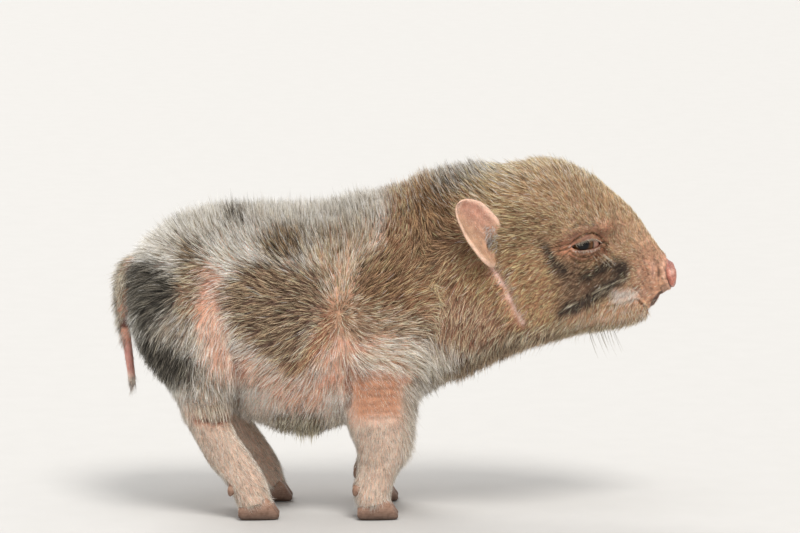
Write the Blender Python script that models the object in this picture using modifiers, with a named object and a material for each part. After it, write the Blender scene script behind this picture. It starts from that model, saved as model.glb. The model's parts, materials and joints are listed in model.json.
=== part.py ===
"""Pot bellied piglet, about two weeks old, standing square with its neck stretched forward and its nose level.

+X runs to the nose, +Y to the animal's left, +Z up. The soles stand on z = 0. Each solid reaches to the tips of the
short coat, so trunk, neck, head and legs are the full outline of the living animal.
"""

import math

import bmesh
import bpy
from mathutils import Matrix, Vector

MM = 0.001
NAME = "pot_bellied_piglet"

# ---------------------------------------------------------------- driving dimensions, metres
GAP = 0.0003  # clearance between neighbouring solids
VOXEL = 0.0016  # grain at which the forms are fused into one body
BODY_TRIANGLES = 3850

NECK_REAR_X = 0.022  # parting between trunk and neck, at the withers
NECK_LEAN = math.radians(-10)  # the parting runs forward going down
HEAD_REAR_X = 0.0520  # parting between neck and head, behind the jaw
HEAD_LEAN = math.radians(-15)
# Partings that free the legs, as outlines in X and Z, millimetres, anticlockwise from the rear foot of each.
FORELEG_PARTING = ((-45, -50), (30, -50), (30, 40), (13.5, 51), (14, 60), (-33, 66), (-29.5, 42), (-45, 34))
HINDLEG_PARTING = ((-145, -50), (-48, -50), (-48, 35), (-69, 42.5), (-75.5, 52), (-69, 74), (-145, 84))

EYE_RADIUS = 0.0078
EYE_AT = (0.0910, 0.0226, 0.1365)
NOSTRIL_RADIUS = 0.0019
NOSTRIL_SPREAD = 0.0042

EAR_ROOT = (0.0508, -0.0320, 0.1407)  # middle of the right ear's base
EAR_TIP = (0.0296, -0.0440, 0.1577)
EAR_BASE_TOP = (0.0508, -0.0288, 0.1512)  # where the front rim of the ear's base begins
EAR_THICK = 0.0022

FORE_FOOT = (-0.0098, 0.0245)  # middle of the sole
HIND_FOOT = (-0.0686, 0.0245)
LEFT_HIND_STEP = 0.0055  # the left hind foot stands this much further forward
CLAW_LENGTH = 0.0200
CLAW_WIDTH = 0.0091
CLAW_HEIGHT = 0.0125
CLAW_CLEFT = 0.0011
CORONET_FRONT = 0.0112  # height of the claws' upper edge at the toe and at the heel
CORONET_BACK = 0.0068
DEWCLAW_LENGTH = 0.0062
DEWCLAW_RADIUS = 0.0022
DEWCLAW_BACK = {"foreleg": 0.0122, "hindleg": 0.0152}  # distance behind the middle of the sole

# Torso, neck and head in one run of cross-sections, millimetres:
# place along X, back line, under line, half width, height of the widest point, fullness above and below
# (2 is an ellipse, more is squarer).
TORSO = (
    (-132.0, 117.0, 98.0, 8.0, 108.0, 2.0, 2.0),  # tail head
    (-129.5, 125.5, 89.0, 19.0, 108.0, 2.0, 2.0),
    (-124.5, 135.0, 80.0, 28.0, 108.0, 2.0, 2.1),  # pin bones
    (-116.0, 142.5, 70.0, 34.5, 107.0, 2.1, 2.1),
    (-103.0, 149.6, 60.0, 38.5, 104.0, 2.1, 2.1),  # hips
    (-87.0, 153.0, 52.0, 40.0, 100.0, 2.1, 2.1),
    (-70.0, 153.8, 45.0, 42.0, 96.0, 2.1, 2.1),  # loin and flank
    (-53.0, 153.8, 40.0, 43.5, 92.0, 2.1, 2.1),  # deepest belly
    (-39.0, 153.8, 39.5, 43.5, 92.0, 2.1, 2.1),
    (-25.0, 156.5, 43.5, 42.5, 94.0, 2.1, 2.1),  # girth
    (-9.0, 161.5, 50.0, 41.0, 98.0, 2.1, 2.1),  # withers
    (6.0, 166.0, 56.5, 39.5, 103.0, 2.1, 2.1),  # shoulder
    (21.0, 170.5, 62.5, 38.0, 108.0, 2.1, 2.1),
    (38.0, 174.2, 68.8, 35.5, 113.0, 2.1, 2.2),  # neck
    (54.0, 175.8, 76.5, 35.0, 115.0, 2.4, 2.3),
    (67.0, 176.6, 82.5, 36.0, 114.0, 2.4, 2.4),  # jowl
    (79.0, 176.0, 85.8, 35.0, 114.0, 2.5, 2.5),
    (89.0, 173.0, 88.0, 31.8, 115.0, 2.5, 2.5),  # brow
    (99.0, 167.0, 90.0, 27.0, 116.0, 2.5, 2.5),
    (109.0, 158.8, 92.0, 21.5, 116.0, 2.2, 2.4),
    (118.0, 150.3, 94.2, 17.0, 116.5, 2.2, 2.3),  # muzzle
    (124.5, 143.2, 97.0, 14.6, 118.0, 2.2, 2.2),  # chin
    (128.5, 138.2, 104.0, 13.3, 119.0, 2.2, 2.2),
    (132.5, 133.4, 110.0, 12.6, 120.0, 2.2, 2.2),  # upper lip
    (135.0, 131.3, 111.8, 12.9, 120.5, 2.3, 2.3),  # rim of the disc
    (138.2, 128.6, 112.6, 12.4, 120.0, 2.3, 2.3),
    (140.2, 125.5, 114.5, 10.2, 119.5, 2.2, 2.2),
)

# Right legs as level cross-sections from the hip or shoulder down, millimetres:
# height, rear edge, front edge, distance out from the midline, half thickness across.
FORELEG = (
    (118.0, -20.0, 14.0, 20.0, 14.0),
    (103.0, -30.0, 21.0, 22.0, 18.5),
    (88.0, -33.0, 21.0, 23.0, 19.5),  # shoulder point
    (72.0, -31.0, 16.0, 23.5, 18.0),
    (61.0, -28.0, 11.5, 24.0, 15.5),  # elbow
    (52.0, -26.5, 10.0, 24.2, 13.6),
    (43.0, -24.0, 9.5, 24.4, 12.2),
    (36.0, -21.0, 8.6, 24.5, 11.4),  # wrist
    (29.5, -20.0, 6.6, 24.5, 10.8),
    (24.0, -20.0, 3.6, 24.5, 10.2),
    (18.5, -22.0, 1.8, 24.5, 10.6),  # pastern
    (13.0, -22.8, 1.6, 24.5, 11.2),
    (8.0, -21.6, 1.8, 24.5, 11.4),
    (3.5, -19.5, 1.0, 24.5, 10.6),
)
HINDLEG = (
    (130.0, -114.0, -86.0, 19.0, 12.0),
    (118.0, -125.0, -76.0, 21.0, 19.0),
    (104.0, -130.5, -70.0, 22.0, 22.5),  # ham
    (90.0, -128.5, -67.0, 22.5, 22.5),
    (77.0, -122.5, -68.0, 23.0, 20.5),
    (67.0, -115.5, -73.5, 23.5, 17.6),
    (58.0, -109.0, -79.5, 24.0, 14.8),
    (49.0, -105.4, -81.0, 24.3, 12.6),  # hock
    (41.0, -101.2, -77.2, 24.5, 11.4),
    (34.0, -97.4, -72.4, 24.5, 10.6),
    (26.0, -93.0, -67.0, 24.5, 10.2),
    (19.0, -86.4, -62.2, 24.5, 10.6),  # pastern
    (13.0, -82.4, -59.4, 24.5, 11.2),
    (8.0, -80.4, -58.0, 24.5, 11.4),
    (3.5, -78.6, -58.6, 24.5, 10.6),
)

# Right ear from the buried base to the tip, millimetres:
# distance along, shift down, half width, depth of the hollow, how far the base plunges into the head.
EAR = (
    (-11.0, 0.0, 5.0, 1.0, 11.0),
    (-7.5, 0.6, 7.4, 1.6, 6.0),
    (-4.5, 2.6, 9.8, 2.2, 2.6),
    (-1.5, 3.6, 10.6, 2.7, 1.0),
    (3.0, 3.4, 11.0, 3.1, 0.2),
    (9.0, 2.2, 11.1, 3.3, 0.0),
    (15.0, 0.8, 10.8, 3.0, 0.0),
    (20.5, 0.1, 9.3, 2.4, 0.0),
    (25.0, -0.2, 7.1, 1.8, 0.0),
    (28.2, -0.5, 4.5, 1.2, 0.0),
    (29.8, -0.7, 1.8, 0.5, 0.0),
)

# Tail, hanging: height, middle along X, half thickness along X and across, millimetres.
TAIL = (
    (127.0, -129.5, 3.0, 4.0),
    (125.0, -131.3, 4.8, 5.8),
    (119.0, -133.6, 5.6, 6.0),
    (111.0, -135.0, 5.2, 5.2),
    (102.0, -135.6, 4.6, 4.4),
    (94.0, -135.2, 3.4, 3.4),
    (86.0, -134.0, 2.5, 2.5),
    (75.0, -132.6, 2.2, 2.2),
    (66.0, -131.5, 1.9, 1.9),
    (62.0, -131.1, 1.1, 1.1),
)

COLOURS = {
    "cream_coat": ((0.62, 0.52, 0.40), 0.85),
    "brown_coat": ((0.30, 0.20, 0.13), 0.85),
    "tan_coat": ((0.48, 0.34, 0.22), 0.85),
    "pink_skin": ((0.72, 0.42, 0.34), 0.6),
    "ear_skin": ((0.76, 0.47, 0.40), 0.6),
    "eye_dark": ((0.02, 0.015, 0.012), 0.08),
    "hoof_horn": ((0.33, 0.22, 0.17), 0.45),
}

# ---------------------------------------------------------------- the scene
for old in list(bpy.data.objects):
    bpy.data.objects.remove(old, do_unlink=True)

solids = bpy.data.collections.new(NAME)
guides = bpy.data.collections.new(NAME + "_guides")
bpy.context.scene.collection.children.link(solids)
bpy.context.scene.collection.children.link(guides)
guides.hide_render = True


def material(name):
    made = bpy.data.materials.get(name)
    if made is None:
        made = bpy.data.materials.new(name)
        made.use_nodes = True
        shader = made.node_tree.nodes["Principled BSDF"]
        colour, rough = COLOURS[name]
        shader.inputs["Base Color"].default_value = (*colour, 1.0)
        shader.inputs["Roughness"].default_value = rough
        shader.inputs["Metallic"].default_value = 0.0
        made.diffuse_color = (*colour, 1.0)
    return made


def solid(name, mesh, look):
    ob = bpy.data.objects.new(name, mesh)
    mesh.materials.clear()
    mesh.materials.append(material(look))
    for face in mesh.polygons:
        face.material_index = 0
    solids.objects.link(ob)
    mesh.shade_smooth()
    mesh.set_sharp_from_angle(angle=math.radians(50))
    return ob


def evaluated(ob):
    """The object's mesh with its modifiers applied, in the scene's own frame."""
    bpy.context.view_layer.update()
    graph = bpy.context.evaluated_depsgraph_get()
    mesh = bpy.data.meshes.new_from_object(ob.evaluated_get(graph))
    mesh.transform(ob.matrix_world)
    return mesh


def mesh_of(bm, name):
    bmesh.ops.recalc_face_normals(bm, faces=bm.faces[:])
    mesh = bpy.data.meshes.new(name)
    bm.to_mesh(mesh)
    bm.free()
    return mesh


# ---------------------------------------------------------------- lofts
def between(rows, steps):
    """The rows with steps - 1 smooth rows put between each two, on a Catmull-Rom curve through them."""
    out = []
    for i in range(len(rows) - 1):
        a, b, c, d = (rows[min(max(j, 0), len(rows) - 1)] for j in (i - 1, i, i + 1, i + 2))
        for k in range(steps):
            t = k / steps
            out.append(
                tuple(
                    0.5 * (2 * q + (r - p) * t + (2 * p - 5 * q + 4 * r - s) * t * t + (3 * q - p - 3 * r + s) * t**3)
                    for p, q, r, s in zip(a, b, c, d)
                )
            )
    out.append(tuple(rows[-1]))
    return out


def loft(name, rings):
    """A closed skin over rings of points, each ring with the same number, ends filled."""
    bm = bmesh.new()
    rows = [[bm.verts.new(p) for p in ring] for ring in rings]
    for low, high in zip(rows, rows[1:]):
        for i in range(len(low)):
            j = (i + 1) % len(low)
            bm.faces.new((low[i], low[j], high[j], high[i]))
    bm.faces.new(rows[0][::-1])
    bm.faces.new(rows[-1])
    return mesh_of(bm, name)


def bow(angle, power):
    """A point on the unit superellipse."""
    c, s = math.cos(angle), math.sin(angle)
    return math.copysign(abs(c) ** (2 / power), c), math.copysign(abs(s) ** (2 / power), s)


def torso_ring(row, count=44):
    x, top, bottom, half, wide, above, below = row
    ring = []
    for i in range(count):
        angle = 2 * math.pi * i / count
        across, up = bow(angle, above if math.sin(angle) >= 0 else below)
        reach = top - wide if up >= 0 else wide - bottom
        ring.append(Vector((x, across * half, wide + up * reach)) * MM)
    return ring


def leg_ring(row, side, shift=0.0, count=28):
    z, back, front, out, half = row
    ring = []
    for i in range(count):
        along, across = bow(2 * math.pi * i / count, 2.15)
        x = (back + front) / 2 + along * (front - back) / 2
        ring.append(Vector((x + shift, side * (out + across * half), z)) * MM)
    return ring


def hind_step(z, side):
    """The left hind leg swings forward from the thigh down."""
    if side < 0:
        return 0.0
    share = min(max((84.0 - z) / 50.0, 0.0), 1.0)
    return share * share * (3 - 2 * share) * LEFT_HIND_STEP / MM


def form(name, mesh):
    """A form or a cutter, which the model is made with and which is no part of it."""
    ob = bpy.data.objects.new(name, mesh)
    guides.objects.link(ob)
    ob.hide_render = True
    ob.display_type = "WIRE"
    return ob


# ---------------------------------------------------------------- the fused body
pieces = [form("torso_form", loft("torso_form", [torso_ring(r) for r in between(TORSO, 3)]))]
for side, word in ((-1, "right"), (1, "left")):
    pieces.append(
        form("foreleg_form_" + word, loft("foreleg_form", [leg_ring(r, side) for r in between(FORELEG, 2)]))
    )
    pieces.append(
        form(
            "hindleg_form_" + word,
            loft("hindleg_form", [leg_ring(r, side, hind_step(r[0], side)) for r in between(HINDLEG, 2)]),
        )
    )


def lump(name, at, size):
    """An ellipsoid laid into the body, for a muscle or a fold."""
    bm = bmesh.new()
    bmesh.ops.create_uvsphere(bm, u_segments=20, v_segments=12, radius=1.0)
    place = Matrix.Translation(at) @ Matrix.Diagonal((*size, 1.0))
    bmesh.ops.transform(bm, matrix=place, verts=bm.verts[:])
    return form(name, mesh_of(bm, name))


for side, word in ((-1, "right"), (1, "left")):
    x, y, z = EYE_AT
    # brow over the eye, cheek under it, and the jowl at the corner of the jaw
    pieces.append(lump("brow_" + word, (x - 0.002, side * 0.0180, z + 0.0085), (0.019, 0.0112, 0.0105)))
    pieces.append(lump("cheek_" + word, (x - 0.013, side * 0.0255, z - 0.026), (0.020, 0.0105, 0.018)))
    pieces.append(lump("jowl_" + word, (0.066, side * 0.027, 0.106), (0.018, 0.0105, 0.020)))
    pieces.append(lump("lip_" + word, (0.1225, side * 0.0085, 0.1085), (0.0115, 0.0065, 0.0065)))

gathered = bmesh.new()
for piece in pieces:
    gathered.from_mesh(piece.data)
body_form = form("body_form", mesh_of(gathered, "body_form"))
fuse = body_form.modifiers.new("fuse", "REMESH")
fuse.mode = "VOXEL"
fuse.voxel_size = VOXEL
fuse.use_smooth_shade = True
ease = body_form.modifiers.new("ease", "SMOOTH")
ease.factor = 0.5
ease.iterations = 10
thin = body_form.modifiers.new("thin", "DECIMATE")
thin.ratio = 0.1
fine = sum(len(p.vertices) - 2 for p in evaluated(body_form).polygons)
thin.ratio = thin.ratio * BODY_TRIANGLES / fine
thin.use_symmetry = False
body = evaluated(body_form)
body.name = "body"

# ---------------------------------------------------------------- cutters
def block(name, low, high, turn=0.0, about=(0.0, 0.0, 0.0)):
    """A box from one corner to the other, turned about a line across the animal."""
    bm = bmesh.new()
    bmesh.ops.create_cube(bm, size=1.0)
    low, high = Vector(low), Vector(high)
    place = Matrix.Translation((low + high) / 2) @ Matrix.Diagonal((*(high - low), 1.0))
    pivot = Matrix.Translation(about) @ Matrix.Rotation(turn, 4, "Y") @ Matrix.Translation(-Vector(about))
    bmesh.ops.transform(bm, matrix=pivot @ place, verts=bm.verts[:])
    return form(name, mesh_of(bm, name))


def ball(name, at, radius, segments=24, rings=14):
    bm = bmesh.new()
    bmesh.ops.create_uvsphere(bm, u_segments=segments, v_segments=rings, radius=radius)
    turn = Matrix.Translation(at) @ Matrix.Rotation(math.radians(90), 4, "X")
    bmesh.ops.transform(bm, matrix=turn, verts=bm.verts[:])
    return form(name, mesh_of(bm, name))


def cut(ob, cutter, how):
    step = ob.modifiers.new(how.lower(), "BOOLEAN")
    step.operation = how
    step.solver = "EXACT"
    step.object = cutter
    return step


half = GAP / 2
FAR = 0.2
neck_rear = (NECK_REAR_X, 0.0, 0.120)
head_rear = (HEAD_REAR_X, 0.0, 0.120)


def slab(name, low_x, high_x, turn, about):
    return block(name, (low_x, -FAR, -FAR), (high_x, FAR, 2 * FAR), turn, about)


behind_neck = slab("behind_neck", -FAR, NECK_REAR_X - half, NECK_LEAN, neck_rear)
after_trunk = slab("after_trunk", NECK_REAR_X + half, FAR, NECK_LEAN, neck_rear)
before_head = slab("before_head", -FAR, HEAD_REAR_X - half, HEAD_LEAN, head_rear)
after_neck = slab("after_neck", HEAD_REAR_X + half, FAR, HEAD_LEAN, head_rear)

def grown(outline, by):
    """The outline moved outwards by this much; its corners run anticlockwise."""
    out = []
    for i, corner in enumerate(outline):
        a, b, c = Vector(outline[i - 1]), Vector(corner), Vector(outline[(i + 1) % len(outline)])
        first, second = (b - a).normalized(), (c - b).normalized()
        one, two = Vector((first.y, -first.x)), Vector((second.y, -second.x))
        mitre = (one + two).normalized()
        out.append(b + mitre * (by / max(mitre.dot(one), 0.3)))
    return out


def prism(name, outline, inner, outer):
    """An outline in X and Z, drawn out across the animal from inner to outer."""
    bm = bmesh.new()
    face = bm.faces.new([bm.verts.new((x, inner, z)) for x, z in outline])
    pulled = bmesh.ops.extrude_face_region(bm, geom=[face])
    moved = [v for v in pulled["geom"] if isinstance(v, bmesh.types.BMVert)]
    bmesh.ops.translate(bm, vec=(0.0, outer - inner, 0.0), verts=moved)
    return form(name, mesh_of(bm, name))


LEGS = {}
for side, word in ((-1, "right"), (1, "left")):
    for kind, outline, inner in (("foreleg", FORELEG_PARTING, 9.5), ("hindleg", HINDLEG_PARTING, 8.5)):
        name = kind + "_" + word
        corners = [(x * MM, z * MM) for x, z in outline]
        edge, clear_edge, far = inner * MM, inner * MM - GAP, 0.09
        LEGS[name] = (
            prism("take_" + name, corners, *sorted((side * edge, side * far))),
            prism("clear_" + name, grown(corners, GAP), *sorted((side * clear_edge, side * (far + GAP)))),
        )

# The trunk, neck and head are parted by leaning planes.
trunk = solid("trunk", body.copy(), "cream_coat")
cut(trunk, behind_neck, "INTERSECT")
for take, clear in LEGS.values():
    cut(trunk, clear, "DIFFERENCE")
neck = solid("neck", body.copy(), "brown_coat")
cut(neck, after_trunk, "INTERSECT")
cut(neck, before_head, "INTERSECT")
head = solid("head", body.copy(), "tan_coat")
cut(head, after_neck, "INTERSECT")

# ---------------------------------------------------------------- eyes, nostrils and mouth
for side, word in ((-1, "right"), (1, "left")):
    x, y, z = EYE_AT
    at = (x, side * y, z)
    eye_form = ball("eye_form_" + word, at, EYE_RADIUS, 14, 9)
    solid("eye_" + word, evaluated(eye_form), "eye_dark")
    cut(head, ball("socket_" + word, at, EYE_RADIUS + 2 * GAP, 20, 12), "DIFFERENCE")
    nostril = ball("nostril_" + word, (0.1402, side * NOSTRIL_SPREAD, 0.1205), NOSTRIL_RADIUS, 12, 8)
    nostril.data.transform(
        Matrix.Translation((0.1402, side * NOSTRIL_SPREAD, 0.1205))
        @ Matrix.Diagonal((1.6, 0.8, 1.15, 1.0))
        @ Matrix.Translation((-0.1402, -side * NOSTRIL_SPREAD, -0.1205))
    )
    cut(head, nostril, "DIFFERENCE")
mouth = block("mouth", (0.1130, -0.03, 0.1015), (0.1400, 0.03, 0.1024), math.radians(-12), (0.1130, 0.0, 0.102))
cut(head, mouth, "DIFFERENCE")


def swollen(name, mesh, by):
    """A copy of a form that stands proud of it all over, to clear a seat for its neighbour."""
    ob = form(name, mesh.copy())
    puff = ob.modifiers.new("clearance", "DISPLACE")
    puff.strength = by
    puff.mid_level = 0.0
    return form(name + "_cutter", evaluated(ob))


body_clear = swollen("body_clear", body, GAP * 1.2)

# ---------------------------------------------------------------- ears
def ear_ring(row, side):
    """A crescent across the ear, hollow towards the outside."""
    length, centre, broad, deep, sink = (value * MM for value in row)
    root, tip = Vector(EAR_ROOT), Vector(EAR_TIP)
    along = (tip - root).normalized()
    across = root - Vector(EAR_BASE_TOP)
    across = (across - along * across.dot(along)).normalized()
    face = along.cross(across).normalized()
    if face.y > 0:
        face = -face
    count = 9
    points = []
    for turn in (1, -1):  # the rim's under side, then back along the hollow
        for i in range(count):
            u = turn * (-1 + 2 * i / (count - 1))
            thick = EAR_THICK / 2 * math.sqrt(max(1 - u**6, 0.12)) * (1.25 - 12 * max(length, 0.0))
            height = -deep * (1 - u * u) - turn * thick - sink
            points.append(root + along * length + across * (centre + u * broad) + face * height)
    return [Vector((p.x, -side * p.y, p.z)) for p in points]


for side, word in ((-1, "right"), (1, "left")):
    ear = solid("ear_" + word, loft("ear_" + word, [ear_ring(r, side) for r in EAR]), "ear_skin")
    cut(ear, body_clear, "DIFFERENCE")

# ---------------------------------------------------------------- tail
tail_rings = []
for z, x, thick, broad in TAIL:
    tail_rings.append(
        [
            Vector((x + thick * math.cos(math.pi * i / 6), broad * math.sin(math.pi * i / 6), z)) * MM
            for i in range(12)
        ]
    )
tail = solid("tail", loft("tail", tail_rings), "pink_skin")
cut(tail, body_clear, "DIFFERENCE")

# ---------------------------------------------------------------- legs and claws
def coronet(name, foot, side, shift, keep_above):
    """Everything above, or below, the slope that the claws' upper edges lie in."""
    x = foot[0] + shift
    slope = math.atan2(CORONET_FRONT - CORONET_BACK, CLAW_LENGTH)
    middle = (CORONET_FRONT + CORONET_BACK) / 2
    low, high = (-0.05, middle + half) if keep_above else (middle - half, 0.05)
    y0, y1 = sorted((side * 0.0, side * 0.09))
    return block(name, (x - 0.05, y0, low), (x + 0.05, y1, high), -slope, (x, 0.0, middle))


def claw_ring(share):
    """A claw's cross-section, flat on the floor, at this share of its length from heel to toe."""
    wide = CLAW_WIDTH / 2 * (0.80 + 0.62 * share - 0.95 * share**3)
    tall = CLAW_HEIGHT * (0.86 + 0.25 * share - 0.72 * share**4)
    ring = []
    count = 10
    for i in range(count):
        across, up = bow(2 * math.pi * i / count, 2.6)
        z = tall * (up + 0.93) / 1.93
        ring.append((across * wide * (1 - 0.10 * max(up, 0)), max(z, 0.0)))
    return ring


for side, word in ((-1, "right"), (1, "left")):
    for kind, foot, shift in (("foreleg", FORE_FOOT, 0.0), ("hindleg", HIND_FOOT, hind_step(0.0, side) * MM)):
        name = kind + "_" + word
        leg = solid(name, body.copy(), "cream_coat")
        cut(leg, LEGS[name][0], "INTERSECT")
        cut(leg, coronet("below_" + name, foot, side, shift, True), "DIFFERENCE")
        above = coronet("above_" + name, foot, side, shift, False)
        for inward, place in ((1, "inner"), (-1, "outer")):
            middle_y = side * (foot[1] - inward * (CLAW_CLEFT / 2 + CLAW_WIDTH * 0.48))
            rings = []
            for i in range(8):
                share = i / 7
                x = foot[0] + shift - CLAW_LENGTH / 2 + CLAW_LENGTH * share + 0.0008
                toe_in = side * inward * 0.0011 * share**2
                rings.append([Vector((x, middle_y + toe_in + y, z)) for y, z in claw_ring(share)])
            claw_name = "claw_" + kind + "_" + word + "_" + place
            claw = solid(claw_name, loft(claw_name, rings), "hoof_horn")
            cut(claw, above, "DIFFERENCE")
            # dewclaw, behind the pastern and pointing down and out
            z = 0.0150
            y = side * (foot[1] - inward * 0.0062)
            x = foot[0] + shift - DEWCLAW_BACK[kind]
            bm = bmesh.new()
            bmesh.ops.create_cone(
                bm,
                cap_ends=True,
                cap_tris=False,
                segments=8,
                radius1=DEWCLAW_RADIUS,
                radius2=DEWCLAW_RADIUS * 0.42,
                depth=DEWCLAW_LENGTH,
            )
            place_at = Matrix.Translation((x, y, z)) @ Matrix.Rotation(math.radians(212), 4, "Y")
            bmesh.ops.transform(bm, matrix=place_at, verts=bm.verts[:])
            dew_name = "dewclaw_" + kind + "_" + word + "_" + place
            dewclaw = solid(dew_name, mesh_of(bm, dew_name), "hoof_horn")
            cut(dewclaw, body_clear, "DIFFERENCE")
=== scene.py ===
"""Looks of the pot bellied piglet: one skin over the whole body, the coat as solid locks of hair, wet eyes, horn claws.

+X runs to the nose, +Y to the animal's left, +Z up, metres. Both sides are modelled alike, so most work is done in
coordinates folded onto the right side (y < 0), and in the outline frame of the camera: px runs forward and py down,
two units to the millimetre.
"""

import json
import math

import bmesh
import bpy
import numpy as np
from mathutils import Matrix, Vector
from mathutils.bvhtree import BVHTree
from mathutils.kdtree import KDTree

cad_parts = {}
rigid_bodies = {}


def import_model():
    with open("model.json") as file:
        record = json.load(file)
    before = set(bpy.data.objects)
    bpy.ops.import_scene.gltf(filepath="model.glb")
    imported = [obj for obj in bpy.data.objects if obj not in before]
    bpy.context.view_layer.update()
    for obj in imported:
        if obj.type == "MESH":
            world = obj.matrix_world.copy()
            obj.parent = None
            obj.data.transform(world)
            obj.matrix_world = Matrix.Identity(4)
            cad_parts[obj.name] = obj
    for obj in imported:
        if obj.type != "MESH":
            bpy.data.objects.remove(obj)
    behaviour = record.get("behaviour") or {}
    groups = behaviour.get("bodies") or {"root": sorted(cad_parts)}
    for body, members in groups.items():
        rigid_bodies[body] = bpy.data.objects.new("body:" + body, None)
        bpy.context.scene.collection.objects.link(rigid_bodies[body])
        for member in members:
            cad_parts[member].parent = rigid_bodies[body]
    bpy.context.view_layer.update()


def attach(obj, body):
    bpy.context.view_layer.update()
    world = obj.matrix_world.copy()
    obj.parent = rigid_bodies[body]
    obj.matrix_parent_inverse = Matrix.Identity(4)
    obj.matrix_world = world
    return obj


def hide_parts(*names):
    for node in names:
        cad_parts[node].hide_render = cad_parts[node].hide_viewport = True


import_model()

MM = 0.001
RNG = np.random.default_rng(20261)
HAIR_SHARE = 1.0
LOOK_UP = math.radians(8.0)
C8, S8 = math.cos(LOOK_UP), math.sin(LOOK_UP)


# ---------------------------------------------------------------- numbers and small helpers
def linear(r, g, b):
    """An 8-bit screen colour as a linear one."""
    out = []
    for value in (r, g, b):
        v = value / 255
        out.append(v / 12.92 if v <= 0.04045 else ((v + 0.055) / 1.055) ** 2.4)
    return np.array(out)


def smooth(low, high, x):
    t = np.clip((x - low) / (high - low), 0, 1)
    return t * t * (3 - 2 * t)


def unit(v):
    return v / np.maximum(np.linalg.norm(v, axis=-1, keepdims=True), 1e-12)


def fold(p):
    """Points with the left side folded onto the right."""
    out = np.array(p, float)
    out[:, 1] = -np.abs(out[:, 1])
    return out


def outline(p):
    """px and py of points, folded onto the right side."""
    x, y, z = p[:, 0] / MM, -np.abs(p[:, 1]) / MM, p[:, 2] / MM
    return np.stack([396 + 2 * x, 515 - 2 * (z * C8 + y * S8 + 3.3)], 1)


def place(px, py, y):
    """The point of the right side at this px and py, where y is its distance from the midline in millimetres."""
    return np.array([(px - 396) / 2, -y, ((515 - py) / 2 - 3.3 + y * S8) / C8]) * MM


def lattice(ix, iy, iz, seed):
    n = (ix * 73856093) ^ (iy * 19349663) ^ (iz * 83492791) ^ (seed * 7919 + 131)
    n = (n ^ (n >> 13)) & 0x7FFFFFFF
    n = (n * (n * n * 15731 + 789221) + 1376312589) & 0x7FFFFFFF
    return n / 1073741823.5 - 1.0


def noise(p, size, seed=0):
    """Smooth noise from -1 to 1 whose lumps are about this size, metres."""
    q = np.asarray(p, float) / size + 100.0
    i = np.floor(q).astype(np.int64)
    f = q - i
    f = f * f * (3 - 2 * f)
    total = np.zeros(len(q))
    for dx in (0, 1):
        wx = f[:, 0] if dx else 1 - f[:, 0]
        for dy in (0, 1):
            wy = f[:, 1] if dy else 1 - f[:, 1]
            for dz in (0, 1):
                wz = f[:, 2] if dz else 1 - f[:, 2]
                total += wx * wy * wz * lattice(i[:, 0] + dx, i[:, 1] + dy, i[:, 2] + dz, seed)
    return total


def along(points, line):
    """Distance of 2D or 3D points from a line of corners, and how far along it, 0 to 1, the nearest place lies."""
    points, line = np.asarray(points, float), np.asarray(line, float)
    lengths = np.linalg.norm(np.diff(line, axis=0), axis=1)
    total, run = lengths.sum(), 0.0
    best = np.full(len(points), 1e9)
    share = np.zeros(len(points))
    for a, b, span in zip(line, line[1:], lengths):
        t = np.clip(((points - a) @ (b - a)) / max(span * span, 1e-12), 0, 1)
        d = np.linalg.norm(points - (a + t[:, None] * (b - a)), axis=1)
        near = d < best
        best[near] = d[near]
        share[near] = (run + t[near] * span) / total
        run += span
    return best, share


def inside(points, corners):
    """Signed distance into a closed outline, positive inside."""
    corners = np.asarray(corners, float)
    loop = np.vstack([corners, corners[:1]])
    distance, _ = along(points, loop)
    x, y = points[:, 0], points[:, 1]
    odd = np.zeros(len(points), bool)
    for a, b in zip(loop, loop[1:]):
        crosses = (a[1] > y) != (b[1] > y)
        with np.errstate(divide="ignore", invalid="ignore"):
            at = a[0] + (y - a[1]) * (b[0] - a[0]) / (b[1] - a[1])
        odd ^= crosses & (x < at)
    return np.where(odd, distance, -distance)


# ---------------------------------------------------------------- camera
target_up = ((515 - 266.5) * 0.5 - 3.3) * MM
target_right = (400 - 396) * 0.5 * MM
DISTANCE = 2.4
camera = bpy.data.objects.new("camera", bpy.data.cameras.new("camera"))
bpy.context.scene.collection.objects.link(camera)
camera.data.sensor_width = 36
camera.data.lens = 36 * DISTANCE / 0.400
camera.data.clip_end = 50
look = Vector((0, C8, -S8))
rise = Vector((0, S8, C8))
camera.location = Vector((target_right, 0, 0)) + rise * target_up - look * DISTANCE
camera.rotation_euler = (math.radians(90) - LOOK_UP, 0, 0)
bpy.context.scene.camera = camera

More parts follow.
